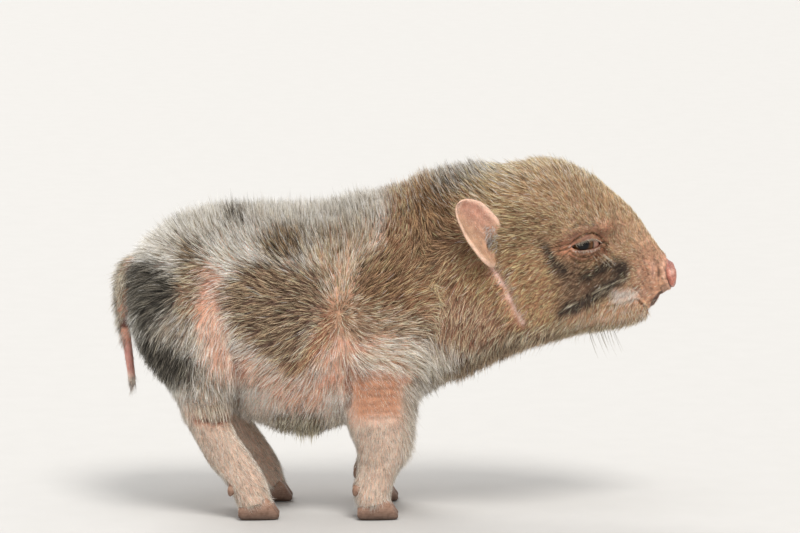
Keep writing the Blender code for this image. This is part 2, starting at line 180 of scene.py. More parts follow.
# ---------------------------------------------------------------- the body's form, as in the solids, millimetres
TORSO = (
    (-132.0, 117.0, 98.0, 8.0, 108.0, 2.0, 2.0),
    (-129.5, 125.5, 89.0, 19.0, 108.0, 2.0, 2.0),
    (-124.5, 135.0, 80.0, 28.0, 108.0, 2.0, 2.1),
    (-116.0, 142.5, 70.0, 34.5, 107.0, 2.1, 2.1),
    (-103.0, 149.6, 60.0, 38.5, 104.0, 2.1, 2.1),
    (-87.0, 153.0, 52.0, 40.0, 100.0, 2.1, 2.1),
    (-70.0, 153.8, 45.0, 42.0, 96.0, 2.1, 2.1),
    (-53.0, 153.8, 40.0, 43.5, 92.0, 2.1, 2.1),
    (-39.0, 153.8, 39.5, 43.5, 92.0, 2.1, 2.1),
    (-25.0, 156.5, 43.5, 42.5, 94.0, 2.1, 2.1),
    (-9.0, 161.5, 50.0, 41.0, 98.0, 2.1, 2.1),
    (6.0, 166.0, 56.5, 39.5, 103.0, 2.1, 2.1),
    (21.0, 170.5, 62.5, 38.0, 108.0, 2.1, 2.1),
    (38.0, 174.2, 68.8, 35.5, 113.0, 2.1, 2.2),
    (54.0, 175.8, 76.5, 35.0, 115.0, 2.4, 2.3),
    (67.0, 176.6, 82.5, 36.0, 114.0, 2.4, 2.4),
    (79.0, 176.0, 85.8, 35.0, 114.0, 2.5, 2.5),
    (89.0, 173.0, 88.0, 31.8, 115.0, 2.5, 2.5),
    (99.0, 167.0, 90.0, 27.0, 116.0, 2.5, 2.5),
    (109.0, 158.8, 92.0, 21.5, 116.0, 2.2, 2.4),
    (118.0, 150.3, 94.2, 17.0, 116.5, 2.2, 2.3),
    (124.5, 143.2, 97.0, 14.6, 118.0, 2.2, 2.2),
    (128.5, 138.2, 104.0, 13.3, 119.0, 2.2, 2.2),
    (132.5, 133.4, 110.0, 12.6, 120.0, 2.2, 2.2),
    (135.0, 131.3, 111.8, 12.9, 120.5, 2.3, 2.3),
    (138.2, 128.6, 112.6, 12.4, 120.0, 2.3, 2.3),
    (140.2, 125.5, 114.5, 10.2, 119.5, 2.2, 2.2),
)
FORELEG = (
    (118.0, -20.0, 14.0, 20.0, 14.0),
    (103.0, -30.0, 21.0, 22.0, 18.5),
    (88.0, -33.0, 21.0, 23.0, 19.5),
    (72.0, -31.0, 16.0, 23.5, 18.0),
    (61.0, -28.0, 11.5, 24.0, 15.5),
    (52.0, -26.5, 10.0, 24.2, 13.6),
    (43.0, -24.0, 9.5, 24.4, 12.2),
    (36.0, -21.0, 8.6, 24.5, 11.4),
    (29.5, -20.0, 6.6, 24.5, 10.8),
    (24.0, -20.0, 2.8, 24.5, 10.2),
    (18.5, -21.6, 0.2, 24.5, 10.5),
    (13.0, -21.8, -1.6, 24.5, 10.8),
    (8.0, -20.6, -1.8, 24.5, 10.8),
    (3.5, -19.0, -1.6, 24.5, 10.2),
)
HINDLEG = (
    (130.0, -114.0, -86.0, 19.0, 12.0),
    (118.0, -125.0, -76.0, 21.0, 19.0),
    (104.0, -130.5, -70.0, 22.0, 22.5),
    (90.0, -128.5, -67.0, 22.5, 22.5),
    (77.0, -122.5, -68.0, 23.0, 20.5),
    (67.0, -115.5, -73.5, 23.5, 17.6),
    (58.0, -109.0, -79.5, 24.0, 14.8),
    (49.0, -105.4, -81.0, 24.3, 12.6),
    (41.0, -101.2, -77.2, 24.5, 11.4),
    (34.0, -97.4, -72.4, 24.5, 10.6),
    (26.0, -93.0, -67.0, 24.5, 10.2),
    (19.0, -86.2, -63.2, 24.5, 10.5),
    (13.0, -82.2, -61.8, 24.5, 10.8),
    (8.0, -79.8, -61.0, 24.5, 10.8),
    (3.5, -78.2, -60.8, 24.5, 10.2),
)
EAR = (
    (-11.0, 0.0, 5.0, 1.0, 11.0),
    (-7.5, 0.6, 7.4, 1.6, 6.0),
    (-4.5, 3.2, 10.3, 2.2, 2.6),
    (-1.5, 4.4, 11.3, 2.7, 1.0),
    (3.0, 4.3, 11.8, 3.0, 0.2),
    (9.0, 3.0, 11.8, 3.1, 0.0),
    (15.0, 1.4, 11.3, 2.9, 0.0),
    (20.5, 0.4, 9.6, 2.4, 0.0),
    (25.0, -0.2, 7.1, 1.8, 0.0),
    (27.4, -0.4, 5.2, 1.3, 0.0),
    (28.9, -0.5, 3.4, 0.8, 0.0),
    (29.7, -0.6, 1.6, 0.3, 0.0),
    (29.9, -0.6, 0.5, 0.1, 0.0),
)
TAIL = (
    (127.0, -129.5, 3.0, 4.0),
    (125.0, -131.3, 4.8, 5.8),
    (119.0, -133.6, 5.6, 6.0),
    (111.0, -135.0, 5.2, 5.2),
    (102.0, -135.6, 4.6, 4.4),
    (94.0, -135.2, 3.4, 3.4),
    (86.0, -134.0, 2.5, 2.5),
    (75.0, -132.6, 2.2, 2.2),
    (66.0, -131.5, 1.9, 1.9),
    (62.0, -131.1, 1.1, 1.1),
)
LEFT_HIND_STEP = 5.5
EAR_ROOT = Vector((50.8, -32.0, 140.7))
EAR_TIP = Vector((29.6, -44.0, 157.7))
EAR_BASE_TOP = Vector((50.8, -28.8, 151.2))
EYE_AT = np.array([92.0, -22.6, 136.5]) * MM
EYE_RADIUS = 7.8 * MM
FORE_FOOT, HIND_FOOT = (-9.8, 24.5), (-68.6, 24.5)
CORONET_FRONT, CORONET_BACK, CLAW_LENGTH, CLAW_WIDTH, CLAW_HEIGHT, CLAW_CLEFT = 11.2, 6.8, 20.0, 9.1, 12.5, 1.1


def between(rows, steps):
    """The rows with steps - 1 smooth rows put between each two."""
    out = []
    for i in range(len(rows) - 1):
        a, b, c, d = (np.array(rows[min(max(j, 0), len(rows) - 1)]) for j in (i - 1, i, i + 1, i + 2))
        for k in range(steps):
            t = k / steps
            out.append(0.5 * (2 * b + (c - a) * t + (2 * a - 5 * b + 4 * c - d) * t * t + (3 * b - a - 3 * c + d) * t**3))
    out.append(np.array(rows[-1]))
    return out


def bow(angle, power):
    c, s = math.cos(angle), math.sin(angle)
    return math.copysign(abs(c) ** (2 / power), c), math.copysign(abs(s) ** (2 / power), s)


def loft(bm, rings):
    """A closed skin over rings of points in millimetres, added to bm."""
    rows = [[bm.verts.new(Vector(p) * MM) for p in ring] for ring in rings]
    faces = []
    for low, high in zip(rows, rows[1:]):
        for i in range(len(low)):
            j = (i + 1) % len(low)
            faces.append(bm.faces.new((low[i], low[j], high[j], high[i])))
    faces.append(bm.faces.new(rows[0][::-1]))
    faces.append(bm.faces.new(rows[-1]))
    bmesh.ops.recalc_face_normals(bm, faces=faces)


def torso_ring(row, count=72):
    x, top, bottom, half, wide, above, below = row
    ring = []
    for i in range(count):
        angle = 2 * math.pi * i / count
        across, up = bow(angle, above if math.sin(angle) >= 0 else below)
        ring.append((x, across * half, wide + up * (top - wide if up >= 0 else wide - bottom)))
    return ring


def leg_ring(row, side, shift, count=40):
    z, back, front, out, half = row
    ring = []
    for i in range(count):
        ahead, across = bow(2 * math.pi * i / count, 2.15)
        ring.append(((back + front) / 2 + ahead * (front - back) / 2 + shift, side * (out + across * half), z))
    return ring


def hind_step(z, side):
    """The left hind leg swings forward from the thigh down."""
    if side < 0:
        return 0.0
    share = min(max((84.0 - z) / 50.0, 0.0), 1.0)
    return share * share * (3 - 2 * share) * LEFT_HIND_STEP


def lump(bm, at, size):
    place_it = Matrix.Translation(Vector(at) * MM) @ Matrix.Diagonal((*(Vector(size) * MM), 1.0))
    bmesh.ops.create_uvsphere(bm, u_segments=28, v_segments=18, radius=1.0, matrix=place_it)


def object_of(name, bm):
    mesh = bpy.data.meshes.new(name)
    bm.to_mesh(mesh)
    bm.free()
    ob = bpy.data.objects.new(name, mesh)
    bpy.context.scene.collection.objects.link(ob)
    return ob


def applied(ob):
    """Replaces the object's mesh with its evaluated one and drops the modifiers."""
    bpy.context.view_layer.update()
    made = bpy.data.meshes.new_from_object(ob.evaluated_get(bpy.context.evaluated_depsgraph_get()))
    ob.modifiers.clear()
    ob.data = made
    return ob


def points_of(mesh):
    co = np.zeros(len(mesh.vertices) * 3)
    mesh.vertices.foreach_get("co", co)
    return co.reshape(-1, 3)


def normals_of(mesh):
    n = np.zeros(len(mesh.vertices) * 3, np.float32)
    mesh.vertex_normals.foreach_get("vector", n)
    return n.reshape(-1, 3).astype(float)


def set_points(mesh, co):
    mesh.vertices.foreach_set("co", np.ascontiguousarray(co, np.float32).ravel())
    mesh.update()


def edges_of(mesh):
    e = np.zeros(len(mesh.edges) * 2, np.int32)
    mesh.edges.foreach_get("vertices", e)
    return e.reshape(-1, 2)


def relax(co, edges, weight, times, factor=0.5):
    """Moves each point towards the middle of its neighbours, as far as its weight says."""
    count = np.bincount(edges.ravel(), minlength=len(co)).clip(1)[:, None]
    for _ in range(times):
        total = np.zeros_like(co)
        for k in range(3):
            total[:, k] = np.bincount(edges[:, 0], co[edges[:, 1], k], len(co)) + np.bincount(
                edges[:, 1], co[edges[:, 0], k], len(co)
            )
        co = co + (total / count - co) * (factor * weight)[:, None]
    return co


# ---------------------------------------------------------------- the skin
def build_body():
    bm = bmesh.new()
    loft(bm, [torso_ring(r) for r in between(TORSO, 4)])
    for side in (-1, 1):
        loft(bm, [leg_ring(r, side, 0.0) for r in between(FORELEG, 3)])
        loft(bm, [leg_ring(r, side, hind_step(r[0], side)) for r in between(HINDLEG, 3)])
        lump(bm, (89.0, side * 18.0, 145.0), (19.0, 11.2, 10.5))
        lump(bm, (78.0, side * 25.5, 110.5), (20.0, 10.5, 18.0))
        lump(bm, (66.0, side * 27.0, 106.0), (18.0, 10.5, 20.0))
        lump(bm, (122.5, side * 8.5, 108.5), (11.5, 6.5, 6.5))
    ob = object_of("piglet_skin", bm)
    fuse = ob.modifiers.new("fuse", "REMESH")
    fuse.mode = "VOXEL"
    fuse.voxel_size = 1.6 * MM
    fuse.use_smooth_shade = True
    ease = ob.modifiers.new("ease", "SMOOTH")
    ease.factor = 0.5
    ease.iterations = 11
    return applied(ob)


def thinned(ob, wanted, ratio):
    """Fewer, larger faces where wanted(middles of faces) is true."""
    for other in bpy.context.view_layer.objects:
        other.select_set(False)
    bpy.context.view_layer.objects.active = ob
    ob.select_set(True)
    middles = np.zeros(len(ob.data.polygons) * 3)
    ob.data.polygons.foreach_get("center", middles)
    bpy.context.tool_settings.mesh_select_mode = (False, False, True)
    ob.data.polygons.foreach_set("select", wanted(middles.reshape(-1, 3)))
    bpy.ops.object.mode_set(mode="EDIT")
    bpy.ops.mesh.decimate(ratio=ratio)
    bpy.ops.object.mode_set(mode="OBJECT")
    ob.select_set(False)


def coat_depth(p, n):
    """How far the skin lies inside the tips of the coat, metres."""
    x, y, z = p[:, 0] / MM, np.abs(p[:, 1]) / MM, p[:, 2] / MM
    up, down = smooth(0.25, 0.9, n[:, 2]), smooth(0.25, 0.9, -n[:, 2])
    depth = 2.5 + 3.2 * up + 1.6 * down
    head = smooth(48, 74, x)
    depth = depth * (1 - head) + (1.5 + 1.4 * up + 0.9 * down) * head
    muzzle = smooth(92, 116, x)
    depth = depth * (1 - muzzle) + 0.8 * muzzle
    depth *= 1 - smooth(126, 133, x) * 0.9
    leg = smooth(72, 50, z) * smooth(6, 12, y) * (x < 40)
    depth = depth * (1 - leg) + 1.3 * leg
    foot = smooth(20, 8, z)
    depth = depth * (1 - foot) + 1.0 * foot
    return depth * MM


def refine(ob, wanted):
    """Cuts the faces in which wanted(points) is true for some corner into four."""
    bm = bmesh.new()
    bm.from_mesh(ob.data)
    bm.verts.ensure_lookup_table()
    flags = wanted(np.array([v.co for v in bm.verts]))
    chosen = set()
    for face in bm.faces:
        if all(flags[v.index] for v in face.verts):
            chosen.update(face.edges)
    bmesh.ops.subdivide_edges(bm, edges=list(chosen), cuts=1, use_grid_fill=True)
    bm.to_mesh(ob.data)
    bm.free()
    ob.data.update()


def eye_axes():
    out = Vector((0.20, -0.965, 0.17)).normalized()
    ahead = Vector((1.0, 0.0, 0.10))
    ahead = (ahead - out * ahead.dot(out)).normalized()
    up = ahead.cross(out)
    if up.z < 0:
        up = -up
    return np.array(ahead), np.array(up), np.array(out)


def eye_frame(q):
    """Folded points in the eye's own frame, millimetres: forward along the lids, up, and out of the head."""
    d = (q - EYE_AT) / MM
    ahead, up, out = eye_axes()
    return d @ ahead, d @ up, d @ out


LID_UPPER = ((567, 247.6), (568.5, 246.3), (572, 245.0), (577, 243.3), (581, 241.8), (585, 240.4), (589, 239.6), (593, 240.6), (596, 242.2), (598, 243.8))
LID_LOWER = ((567, 247.6), (569, 248.7), (572.5, 249.8), (577, 250.5), (582, 250.2), (587, 249.3), (591, 248.2), (594, 246.9), (596.5, 245.4), (598, 243.8))
UPPER_CREASE = ((561, 250), (565, 245.5), (570, 241.5), (576, 237.8), (582, 234.8), (588, 233.6), (594, 235.2), (600, 239), (604, 243.5))
BROW_CREASE = ((556, 244), (560, 236), (567, 229.5), (575, 226), (584, 224.5), (592, 225), (600, 229))
LOWER_CREASES = (
    ((563, 250), (567, 254.0), (572, 256.6), (578, 257.4), (584, 256.6), (590, 254.4), (595, 251.6), (600, 248.6)),
    ((561, 254), (566, 259.0), (572, 262.4), (579, 263.0), (586, 261.0), (592, 257.8), (598, 255.5)),
    ((564, 263), (570, 268), (577, 270.5), (585, 269), (593, 264.5)),
)
CORNER_CREASES = (
    ((566, 248), (561, 250), (556, 251), (551, 253)),
    ((565, 244.5), (559, 246), (553, 247), (549, 249)),
    ((564, 252), (559, 256), (555, 261)),
    ((598, 243.4), (602, 242.4), (605.5, 243.5), (607, 247)),
    ((599, 246), (602, 249), (604, 254)),
)


def on_eye(line):
    """Corners in px and py as places in the eye's own frame."""
    out = []
    for px, py in line:
        y = 29.0
        for _ in range(6):
            p = place(px, py, y)
            spread = ((p[0] - EYE_AT[0]) / MM) ** 2 + ((p[2] - EYE_AT[2]) / MM) ** 2
            y = -EYE_AT[1] / MM + math.sqrt(max((EYE_RADIUS / MM + 0.8) ** 2 - spread, 18.0))
        a, b, _ = eye_frame(place(px, py, y)[None])
        out.append((a[0], b[0]))
    return out


UPPER_EDGE, LOWER_EDGE = np.array(on_eye(LID_UPPER)), np.array(on_eye(LID_LOWER))
LID_REAR, LID_FRONT = UPPER_EDGE[0, 0], UPPER_EDGE[-1, 0]


def lids(a):
    """Height of the upper and the lower lid's edge at this place along the eye."""
    return np.interp(a, UPPER_EDGE[:, 0], UPPER_EDGE[:, 1]), np.interp(a, LOWER_EDGE[:, 0], LOWER_EDGE[:, 1])


def gap_between_lids(a, b):
    """Millimetres inside the opening of the lids, negative outside."""
    top, bottom = lids(a)
    s = np.minimum(top - b, b - bottom)
    ends = np.minimum(a - LID_REAR, LID_FRONT - a)
    return np.where(ends > 0, s, -np.hypot(np.minimum(ends, 0), np.maximum(-s, 0)) - 0.01)


def groove(d, share, wide, deep, ends=0.2):
    return deep * np.exp(-((d / wide) ** 2)) * smooth(0, ends, share) * smooth(0, ends, 1 - share)


SNOUT_EDGE = ((112.0, 138.2), (113.5, 137.4), (116.5, 135.4), (121.0, 133.6), (125.0, 133.0), (128.2, 133.8), (131.0, 134.8))


def ahead_of_edge(p):
    """Millimetres ahead of the snout's rim."""
    table = np.array(SNOUT_EDGE)
    return p[:, 0] / MM - np.interp(p[:, 2] / MM, table[:, 0], table[:, 1])


DISC_AT = np.array([137.0, 0.0, 120.4])
DISC_TILT = math.radians(10)


def disc_frame(q):
    """Folded points in the frame of the snout's disc: across, up along the disc, ahead of it; millimetres."""
    d = q / MM - DISC_AT
    ahead = d[:, 0] * math.cos(DISC_TILT) + d[:, 2] * math.sin(DISC_TILT)
    up = -d[:, 0] * math.sin(DISC_TILT) + d[:, 2] * math.cos(DISC_TILT)
    return d[:, 1], up, ahead


MOUTH_OPENING = ((660, 289), (656, 296), (651.5, 303), (648, 309))
LIP_LINE = ((652, 312), (646, 310), (640, 304), (634, 298.5), (625, 301), (614, 304), (602, 307), (588, 308))
JOWL_FOLD = ((489, 264), (498, 274), (506, 286), (509, 298), (515, 310), (521, 322))
HOCK_FOLD = ((200, 417), (210, 418.5), (220, 419), (234, 416))
ELBOW_FOLD = ((345, 352), (349, 372), (350, 392), (347, 412))
GROIN_FOLD = ((236, 330), (240, 360), (242, 388), (240, 414))


def sculpt(co, n):
    """The folds, lids, lips and snout, by moving points of the skin. Returns the new points."""
    s = np.where(co[:, 1] > 0, -1.0, 1.0)
    q, m = co.copy(), n.copy()
    q[:, 1] *= s
    m[:, 1] *= s
    flat = outline(q)
    move = np.zeros(len(q))  # along the normal, millimetres

    # --- jowl, mouth, legs
    sideways = smooth(0.15, 0.45, -m[:, 1])
    d, t = along(flat, JOWL_FOLD)
    move -= groove(d, t, 3.0, 0.55) * sideways
    move += (groove(np.abs(d - 8.0), t, 5.0, 0.35)) * sideways
    d, t = along(flat, LIP_LINE)
    in_face = q[:, 0] > 0.085
    move -= (0.28 + 0.75 * smooth(0.42, 0.12, t)) * np.exp(-((d / 1.4) ** 2)) * smooth(0, 0.3, 1 - t) * in_face * smooth(0.05, 0.3, -m[:, 1])
    move -= 0.9 * np.exp(-(((q[:, 2] / MM - 101.2) / 0.75) ** 2)) * smooth(0.2, 0.6, m[:, 0]) * smooth(-11, -7, q[:, 1] / MM) * (q[:, 0] > 0.110)
    d2 = flat[:, 1] - np.interp(flat[:, 0], [588, 602, 614, 625, 634, 640, 646], [308, 307, 304, 301, 298.5, 304, 311])
    lip = np.exp(-(((d2 + 3.5) / 2.6) ** 2)) * smooth(590, 606, flat[:, 0]) * smooth(650, 640, flat[:, 0])
    move += 0.45 * lip * in_face * sideways
    d, t = along(flat, HOCK_FOLD)
    low = (q[:, 2] < 0.075) & (q[:, 0] < -0.06)
    move -= groove(d, t, 3.0, 1.6) * low * smooth(-0.6, 0.2, m[:, 0])
    d, t = along(flat, ELBOW_FOLD)
    move -= groove(d, t, 3.5, 1.1) * sideways
    d, t = along(flat, GROIN_FOLD)
    move -= groove(d, t, 6.0, 1.3) * sideways
    for i, level in enumerate((378, 386, 393.5, 401, 409, 415)):
        line = [(352, level + 1.5), (366, level + 0.2 + (i % 2)), (382, level - 0.5), (398, level + 0.8), (408, level - 1)]
        d, t = along(flat, line)
        move -= groove(d, t, 2.0, 0.10 + 0.03 * (i % 2), 0.35) * sideways * (q[:, 1] < -0.008)
    for line, deep in ((((206, 440), (214, 447), (222, 452)), 0.25), (((360, 458), (372, 461), (386, 460)), 0.2)):
        d, t = along(flat, line)
        move -= groove(d, t, 4.0, deep, 0.4)

    # --- snout
    across, up, ahead = disc_frame(q)
    rho = np.hypot(across / 12.3, (up + 0.1) / 8.9)
    front = smooth(128.0, 131.5, q[:, 0] / MM)
    edge = ahead_of_edge(q)
    snout = (q[:, 0] > 0.126) * 1.0
    move -= 0.55 * np.exp(-(((edge - 0.25) / 0.55) ** 2)) * snout
    move += 0.35 * np.exp(-(((edge + 1.5) / 0.9) ** 2)) * snout
    move -= 0.22 * np.exp(-(((edge + 4.2) / 1.2) ** 2)) * snout * (0.5 + 0.5 * np.sin(q[:, 2] / MM * 0.9))
    move += 0.50 * np.exp(-(((edge - 2.6) / 1.6) ** 2)) * snout * smooth(0.3, 0.7, -m[:, 1])
    facing = smooth(0.25, 0.7, m[:, 0] * math.cos(DISC_TILT) + m[:, 2] * math.sin(DISC_TILT)) * front
    rim = np.exp(-(((rho - 0.86) / 0.13) ** 2))
    move += 0.45 * rim * facing
    move -= 0.55 * smooth(0.78, 0.35, rho) * facing
    move -= 0.5 * np.exp(-((across / 0.7) ** 2)) * smooth(1.5, -3.0, up) * facing
    nx, ny = across + 4.4, up - 0.2
    lean = 0.35
    hole = np.hypot((nx + lean * ny) / 2.05, ny / 2.75)
    nostril = smooth(1.08, 0.72, hole) * facing
    move += 0.40 * np.exp(-(((hole - 1.3) / 0.22) ** 2)) * facing
    # wrinkles on top of the snout behind the disc
    for k, x in enumerate((127.6, 124.0, 119.8)):
        wave = x + 0.5 * np.sin(q[:, 1] / MM * 0.55 + k)
        move -= (0.26 - 0.06 * k) * np.exp(-(((q[:, 0] / MM - wave) / 0.7) ** 2)) * smooth(-0.1, 0.5, m[:, 2])

    # --- face: cheek hollow under the eye, tear line and fold to the corner of the mouth
    for line, wide, deep in (
        (((600, 246), (610, 256), (620, 262)), 3.0, 0.5),
        (((624, 262), (632, 270), (636, 282), (633, 292)), 2.4, 0.45),
        (((640, 256), (644, 268), (646, 280)), 1.5, 0.55),
        (((648, 258), (650, 268), (649, 280)), 1.1, 0.30),
        (((654, 258), (656, 270), (655, 284)), 1.3, 0.50),
        (((626, 284), (634, 290), (641, 298)), 1.4, 0.40),
        (((560, 285), (580, 296), (600, 300)), 5.0, 0.5),
    ):
        d, t = along(flat, line)
        move -= groove(d, t, wide, deep, 0.3) * sideways * in_face

    q = q + m * (move * MM)[:, None]
    # a fuller, rounder lobe at each side of the disc
    q[:, 0] -= 0.9 * MM * smooth(0.72, 1.05, rho) * np.maximum(facing, 0.0) * smooth(0.2, 0.9, ahead + 1.5)

    # the front of the lips slopes back under the snout
    limit = np.interp(q[:, 2] / MM, [95, 99, 101.5, 104, 107, 110, 111.6, 113.2], [127, 125.6, 126.4, 128.0, 129.6, 131.2, 133.0, 141.0])
    over = np.maximum(q[:, 0] / MM - limit, 0.0)
    q[:, 0] -= over * 0.85 * MM

    # --- the hollow between the snout and the tip of the lip
    d, t = along(outline(q), MOUTH_OPENING)
    dent = np.exp(-((d / (1.0 + 2.4 * np.sin(np.pi * np.clip(t, 0, 1)))) ** 2)) * smooth(0.118, 0.121, q[:, 0])
    dent *= smooth(0, 0.15, t) * smooth(0, 0.15, 1 - t)
    q[:, 0] -= dent * 0.9 * MM
    q[:, 1] *= 1 - 0.06 * dent
    q[:, 0] -= 0.5 * MM * np.exp(-((across / 0.8) ** 2)) * smooth(-9.0, -11.0, up) * smooth(-21.0, -18.0, up) * smooth(0.118, 0.124, q[:, 0])
    # nostrils
    q[:, 0] -= nostril * 4.6 * MM
    q[:, 2] -= nostril * 0.4 * MM

    # --- eyes
    a, b, h = eye_frame(q)
    near = (np.hypot(a, b) < 19) & (h > -1.5) & (q[:, 1] < -0.006)
    r = np.hypot(a, b)
    ahead_v, up_v, out_v = eye_axes()
    # flesh round the eye, fuller over it
    flesh = 1.1 * np.exp(-((r / 11.5) ** 2)) + 0.9 * np.exp(-(((a - 1.0) / 9.0) ** 2) - ((b - 6.6) / 2.4) ** 2)
    flesh += 0.5 * np.exp(-(((a - 0.5) / 8.0) ** 2) - ((b + 5.6) / 2.6) ** 2)
    height = h + flesh * near
    ball = np.sqrt(np.maximum((EYE_RADIUS / MM + 0.85) ** 2 - r * r, 0.0))
    k = 0.9  # soft maximum of the two
    blend = np.clip(0.5 + 0.5 * (ball - height) / k, 0, 1)
    lid = height * (1 - blend) + ball * blend + k * blend * (1 - blend)
    target = np.where(near & (r < EYE_RADIUS / MM + 1.0), lid, height)
    # folds of the lids
    top, bottom = lids(a)
    span = smooth(-9.5, -5.0, a) * smooth(11.0, 7.0, a)
    flat_eye = np.stack([a, b], 1)
    d, t = along(flat_eye, on_eye(UPPER_CREASE))
    target -= groove(d, t, 0.50, 0.80, 0.25) * near
    target += groove(np.abs(d - 1.1), t, 0.7, 0.32, 0.3) * near
    d, t = along(flat_eye, on_eye(BROW_CREASE))
    target -= groove(d, t, 0.9, 0.55, 0.35) * near
    target += 0.30 * np.exp(-(((b - top - 0.45) / 0.42) ** 2)) * span * near
    target += 0.34 * np.exp(-(((bottom - b - 0.55) / 0.42) ** 2)) * span * near
    for line, deep in zip(LOWER_CREASES, (0.60, 0.50, 0.40)):
        d, t = along(flat_eye, on_eye(line))
        target -= groove(d, t, 0.50, deep * (1 + 0.35 * np.sin(t * 17.0)), 0.3) * near
        target += groove(np.abs(d - 1.2), t, 0.8, 0.25, 0.2) * near
    for line, deep in zip(CORNER_CREASES, (0.7, 0.45, 0.5, 1.1, 0.5)):
        d, t = along(flat_eye, on_eye(line))
        target -= deep * np.exp(-((d / 0.5) ** 2)) * smooth(0, 0.15, 1 - t) * near
    hollow = np.sqrt(np.maximum((EYE_RADIUS / MM) ** 2 - r * r, 2.2**2)) - 1.1
    hollow = np.maximum(hollow, np.minimum(target, 8.0) - 2.6)
    opened = smooth(-0.16, 0.18, gap_between_lids(a, b)) * near
    target = target * (1 - opened) + np.minimum(target, hollow) * opened
    q = q + out_v * ((target - h) * near * MM)[:, None]

    q[:, 1] *= s
    # the skin ends in a flat cap over the claws
    for foot, is_fore in ((FORE_FOOT, True), (HIND_FOOT, False)):
        for side in (-1, 1):
            shift = 0.0 if is_fore or side < 0 else LEFT_HIND_STEP
            rel = q[:, 0] / MM - (foot[0] + shift)
            level = (CORONET_FRONT + CORONET_BACK) / 2 + rel * (CORONET_FRONT - CORONET_BACK) / CLAW_LENGTH - 0.9
            level = np.maximum(level, 3.2)
            mine = (np.abs(rel) < 19) & (q[:, 1] * side > 0.006) & (q[:, 2] / MM < level)
            q[:, 2] = np.where(mine, level * MM, q[:, 2])
    return q


def ear_rings(side, fine=6, count=23):
    """A crescent across the ear, hollow towards the outside, with a rolled rim and low ridges in the hollow."""
    along_ear = (EAR_TIP - EAR_ROOT).normalized()
    across = EAR_ROOT - EAR_BASE_TOP
    across = (across - along_ear * across.dot(along_ear)).normalized()
    face = along_ear.cross(across).normalized()
    if face.y > 0:
        face = -face
    rings = []
    for length, centre, broad, deep, sink in between(EAR, fine):
        points = []
        for turn in (1, -1):
            for i in range(count):
                u = turn * (-1 + 2 * i / (count - 1))
                u = math.copysign(abs(u) ** 0.9, u)
                thick = 0.85 * math.sqrt(max(1 - u**6, 0.10)) * (1.22 - 0.014 * max(length, 0.0))
                thick *= 1 + 0.45 * math.exp(-(((abs(u) - 0.86) / 0.10) ** 2))
                height = -deep * (1 - u * u) - turn * thick - sink
                if turn == 1:  # back of the ear
                    height += 0.0
                else:
                    for where, tall, wide, low, high in ((-0.46, 0.26, 0.12, 3, 21), (-0.14, 0.28, 0.11, 2, 18), (0.20, 0.20, 0.12, 4, 16)):
                        run = max(0.0, min(1.0, (length - low + 3) / 3)) * max(0.0, min(1.0, (high - length) / 5))
                        height += tall * run * math.exp(-(((u - where - 0.008 * (length - 8)) / wide) ** 2))
                    pit = math.exp(-(((length - 1.6) / 2.8) ** 2) - ((u - 0.02) / 0.30) ** 2)
                    height -= 1.7 * pit
                ripple = 0.12 * math.sin(length * 0.55 + u * 2.0) * max(0.0, min(1.0, length / 8))
                points.append(EAR_ROOT + along_ear * length + across * (centre + u * broad) + face * (height + ripple))
        rings.append([(p.x, -side * p.y, p.z) for p in points])
    return rings


def joined(ob, adders):
    """The body with the other forms joined on by a Boolean union."""
    for name, add in adders:
        bm = bmesh.new()
        add(bm)
        other = object_of(name, bm)
        union = ob.modifiers.new(name, "BOOLEAN")
        union.operation = "UNION"
        union.solver = "MANIFOLD"
        union.object = other
        applied(ob)
        bpy.data.objects.remove(other)
    return ob


def tail_rings(count=20):
    rings = []
    for z, x, thick, broad in between(TAIL, 5):
        hair = min(max((z - 88.0) / 12.0, 0.0), 1.0) * 1.1 + 0.2
        rings.append(
            [
                (
                    x + (thick - hair) * math.cos(2 * math.pi * i / count),
                    (broad - hair) * math.sin(2 * math.pi * i / count),
                    z + (0.8 if z < 63 else 0.0),
                )
                for i in range(count)
            ]
        )
    return rings


def tree_of(add):
    bm = bmesh.new()
    add(bm)
    tree = BVHTree.FromBMesh(bm)
    bm.free()
    return tree


def distances(tree, points, limit):
    out = np.full(len(points), limit)
    for i, p in enumerate(points):
        hit = tree.find_nearest(p, limit)
        if hit[0] is not None:
            out[i] = hit[3]
    return out


skin = build_body()


def plain_trunk(p):
    x, y, z = p[:, 0] / MM, np.abs(p[:, 1]) / MM, p[:, 2] / MM
    shoulder = (x > -40) & (x < 32) & (y > 12) & (z < 74)
    thigh = (x < -58) & (y > 10) & (z < 66)
    return (x < 46) & (z > 52) & ~shoulder & ~thigh


thinned(skin, plain_trunk, 0.28)
co, n = points_of(skin.data), normals_of(skin.data)
co = co - n * coat_depth(co, n)[:, None]
co = relax(co, edges_of(skin.data), np.ones(len(co)), 3)
set_points(skin.data, co)


def on_head(p):
    return (p[:, 0] > 0.072) | ((p[:, 0] > 0.040) & (np.abs(p[:, 1]) > 0.020) & (p[:, 2] > 0.122) & (p[:, 2] < 0.168))


def on_face(p):
    q = fold(p)
    a, b, h = eye_frame(q)
    return ((np.hypot(a, b) < 13.0) & (q[:, 1] < -0.008) & (h > -1)) | (p[:, 0] > 0.1185)


for zone in (on_head, on_face):
    refine(skin, zone)
    co = points_of(skin.data)
    grown = smooth(0.040, 0.060, co[:, 0])
    co = relax(co, edges_of(skin.data), grown, 3)
    set_points(skin.data, co)
co, n = points_of(skin.data), normals_of(skin.data)
co = sculpt(co, n)
set_points(skin.data, co)

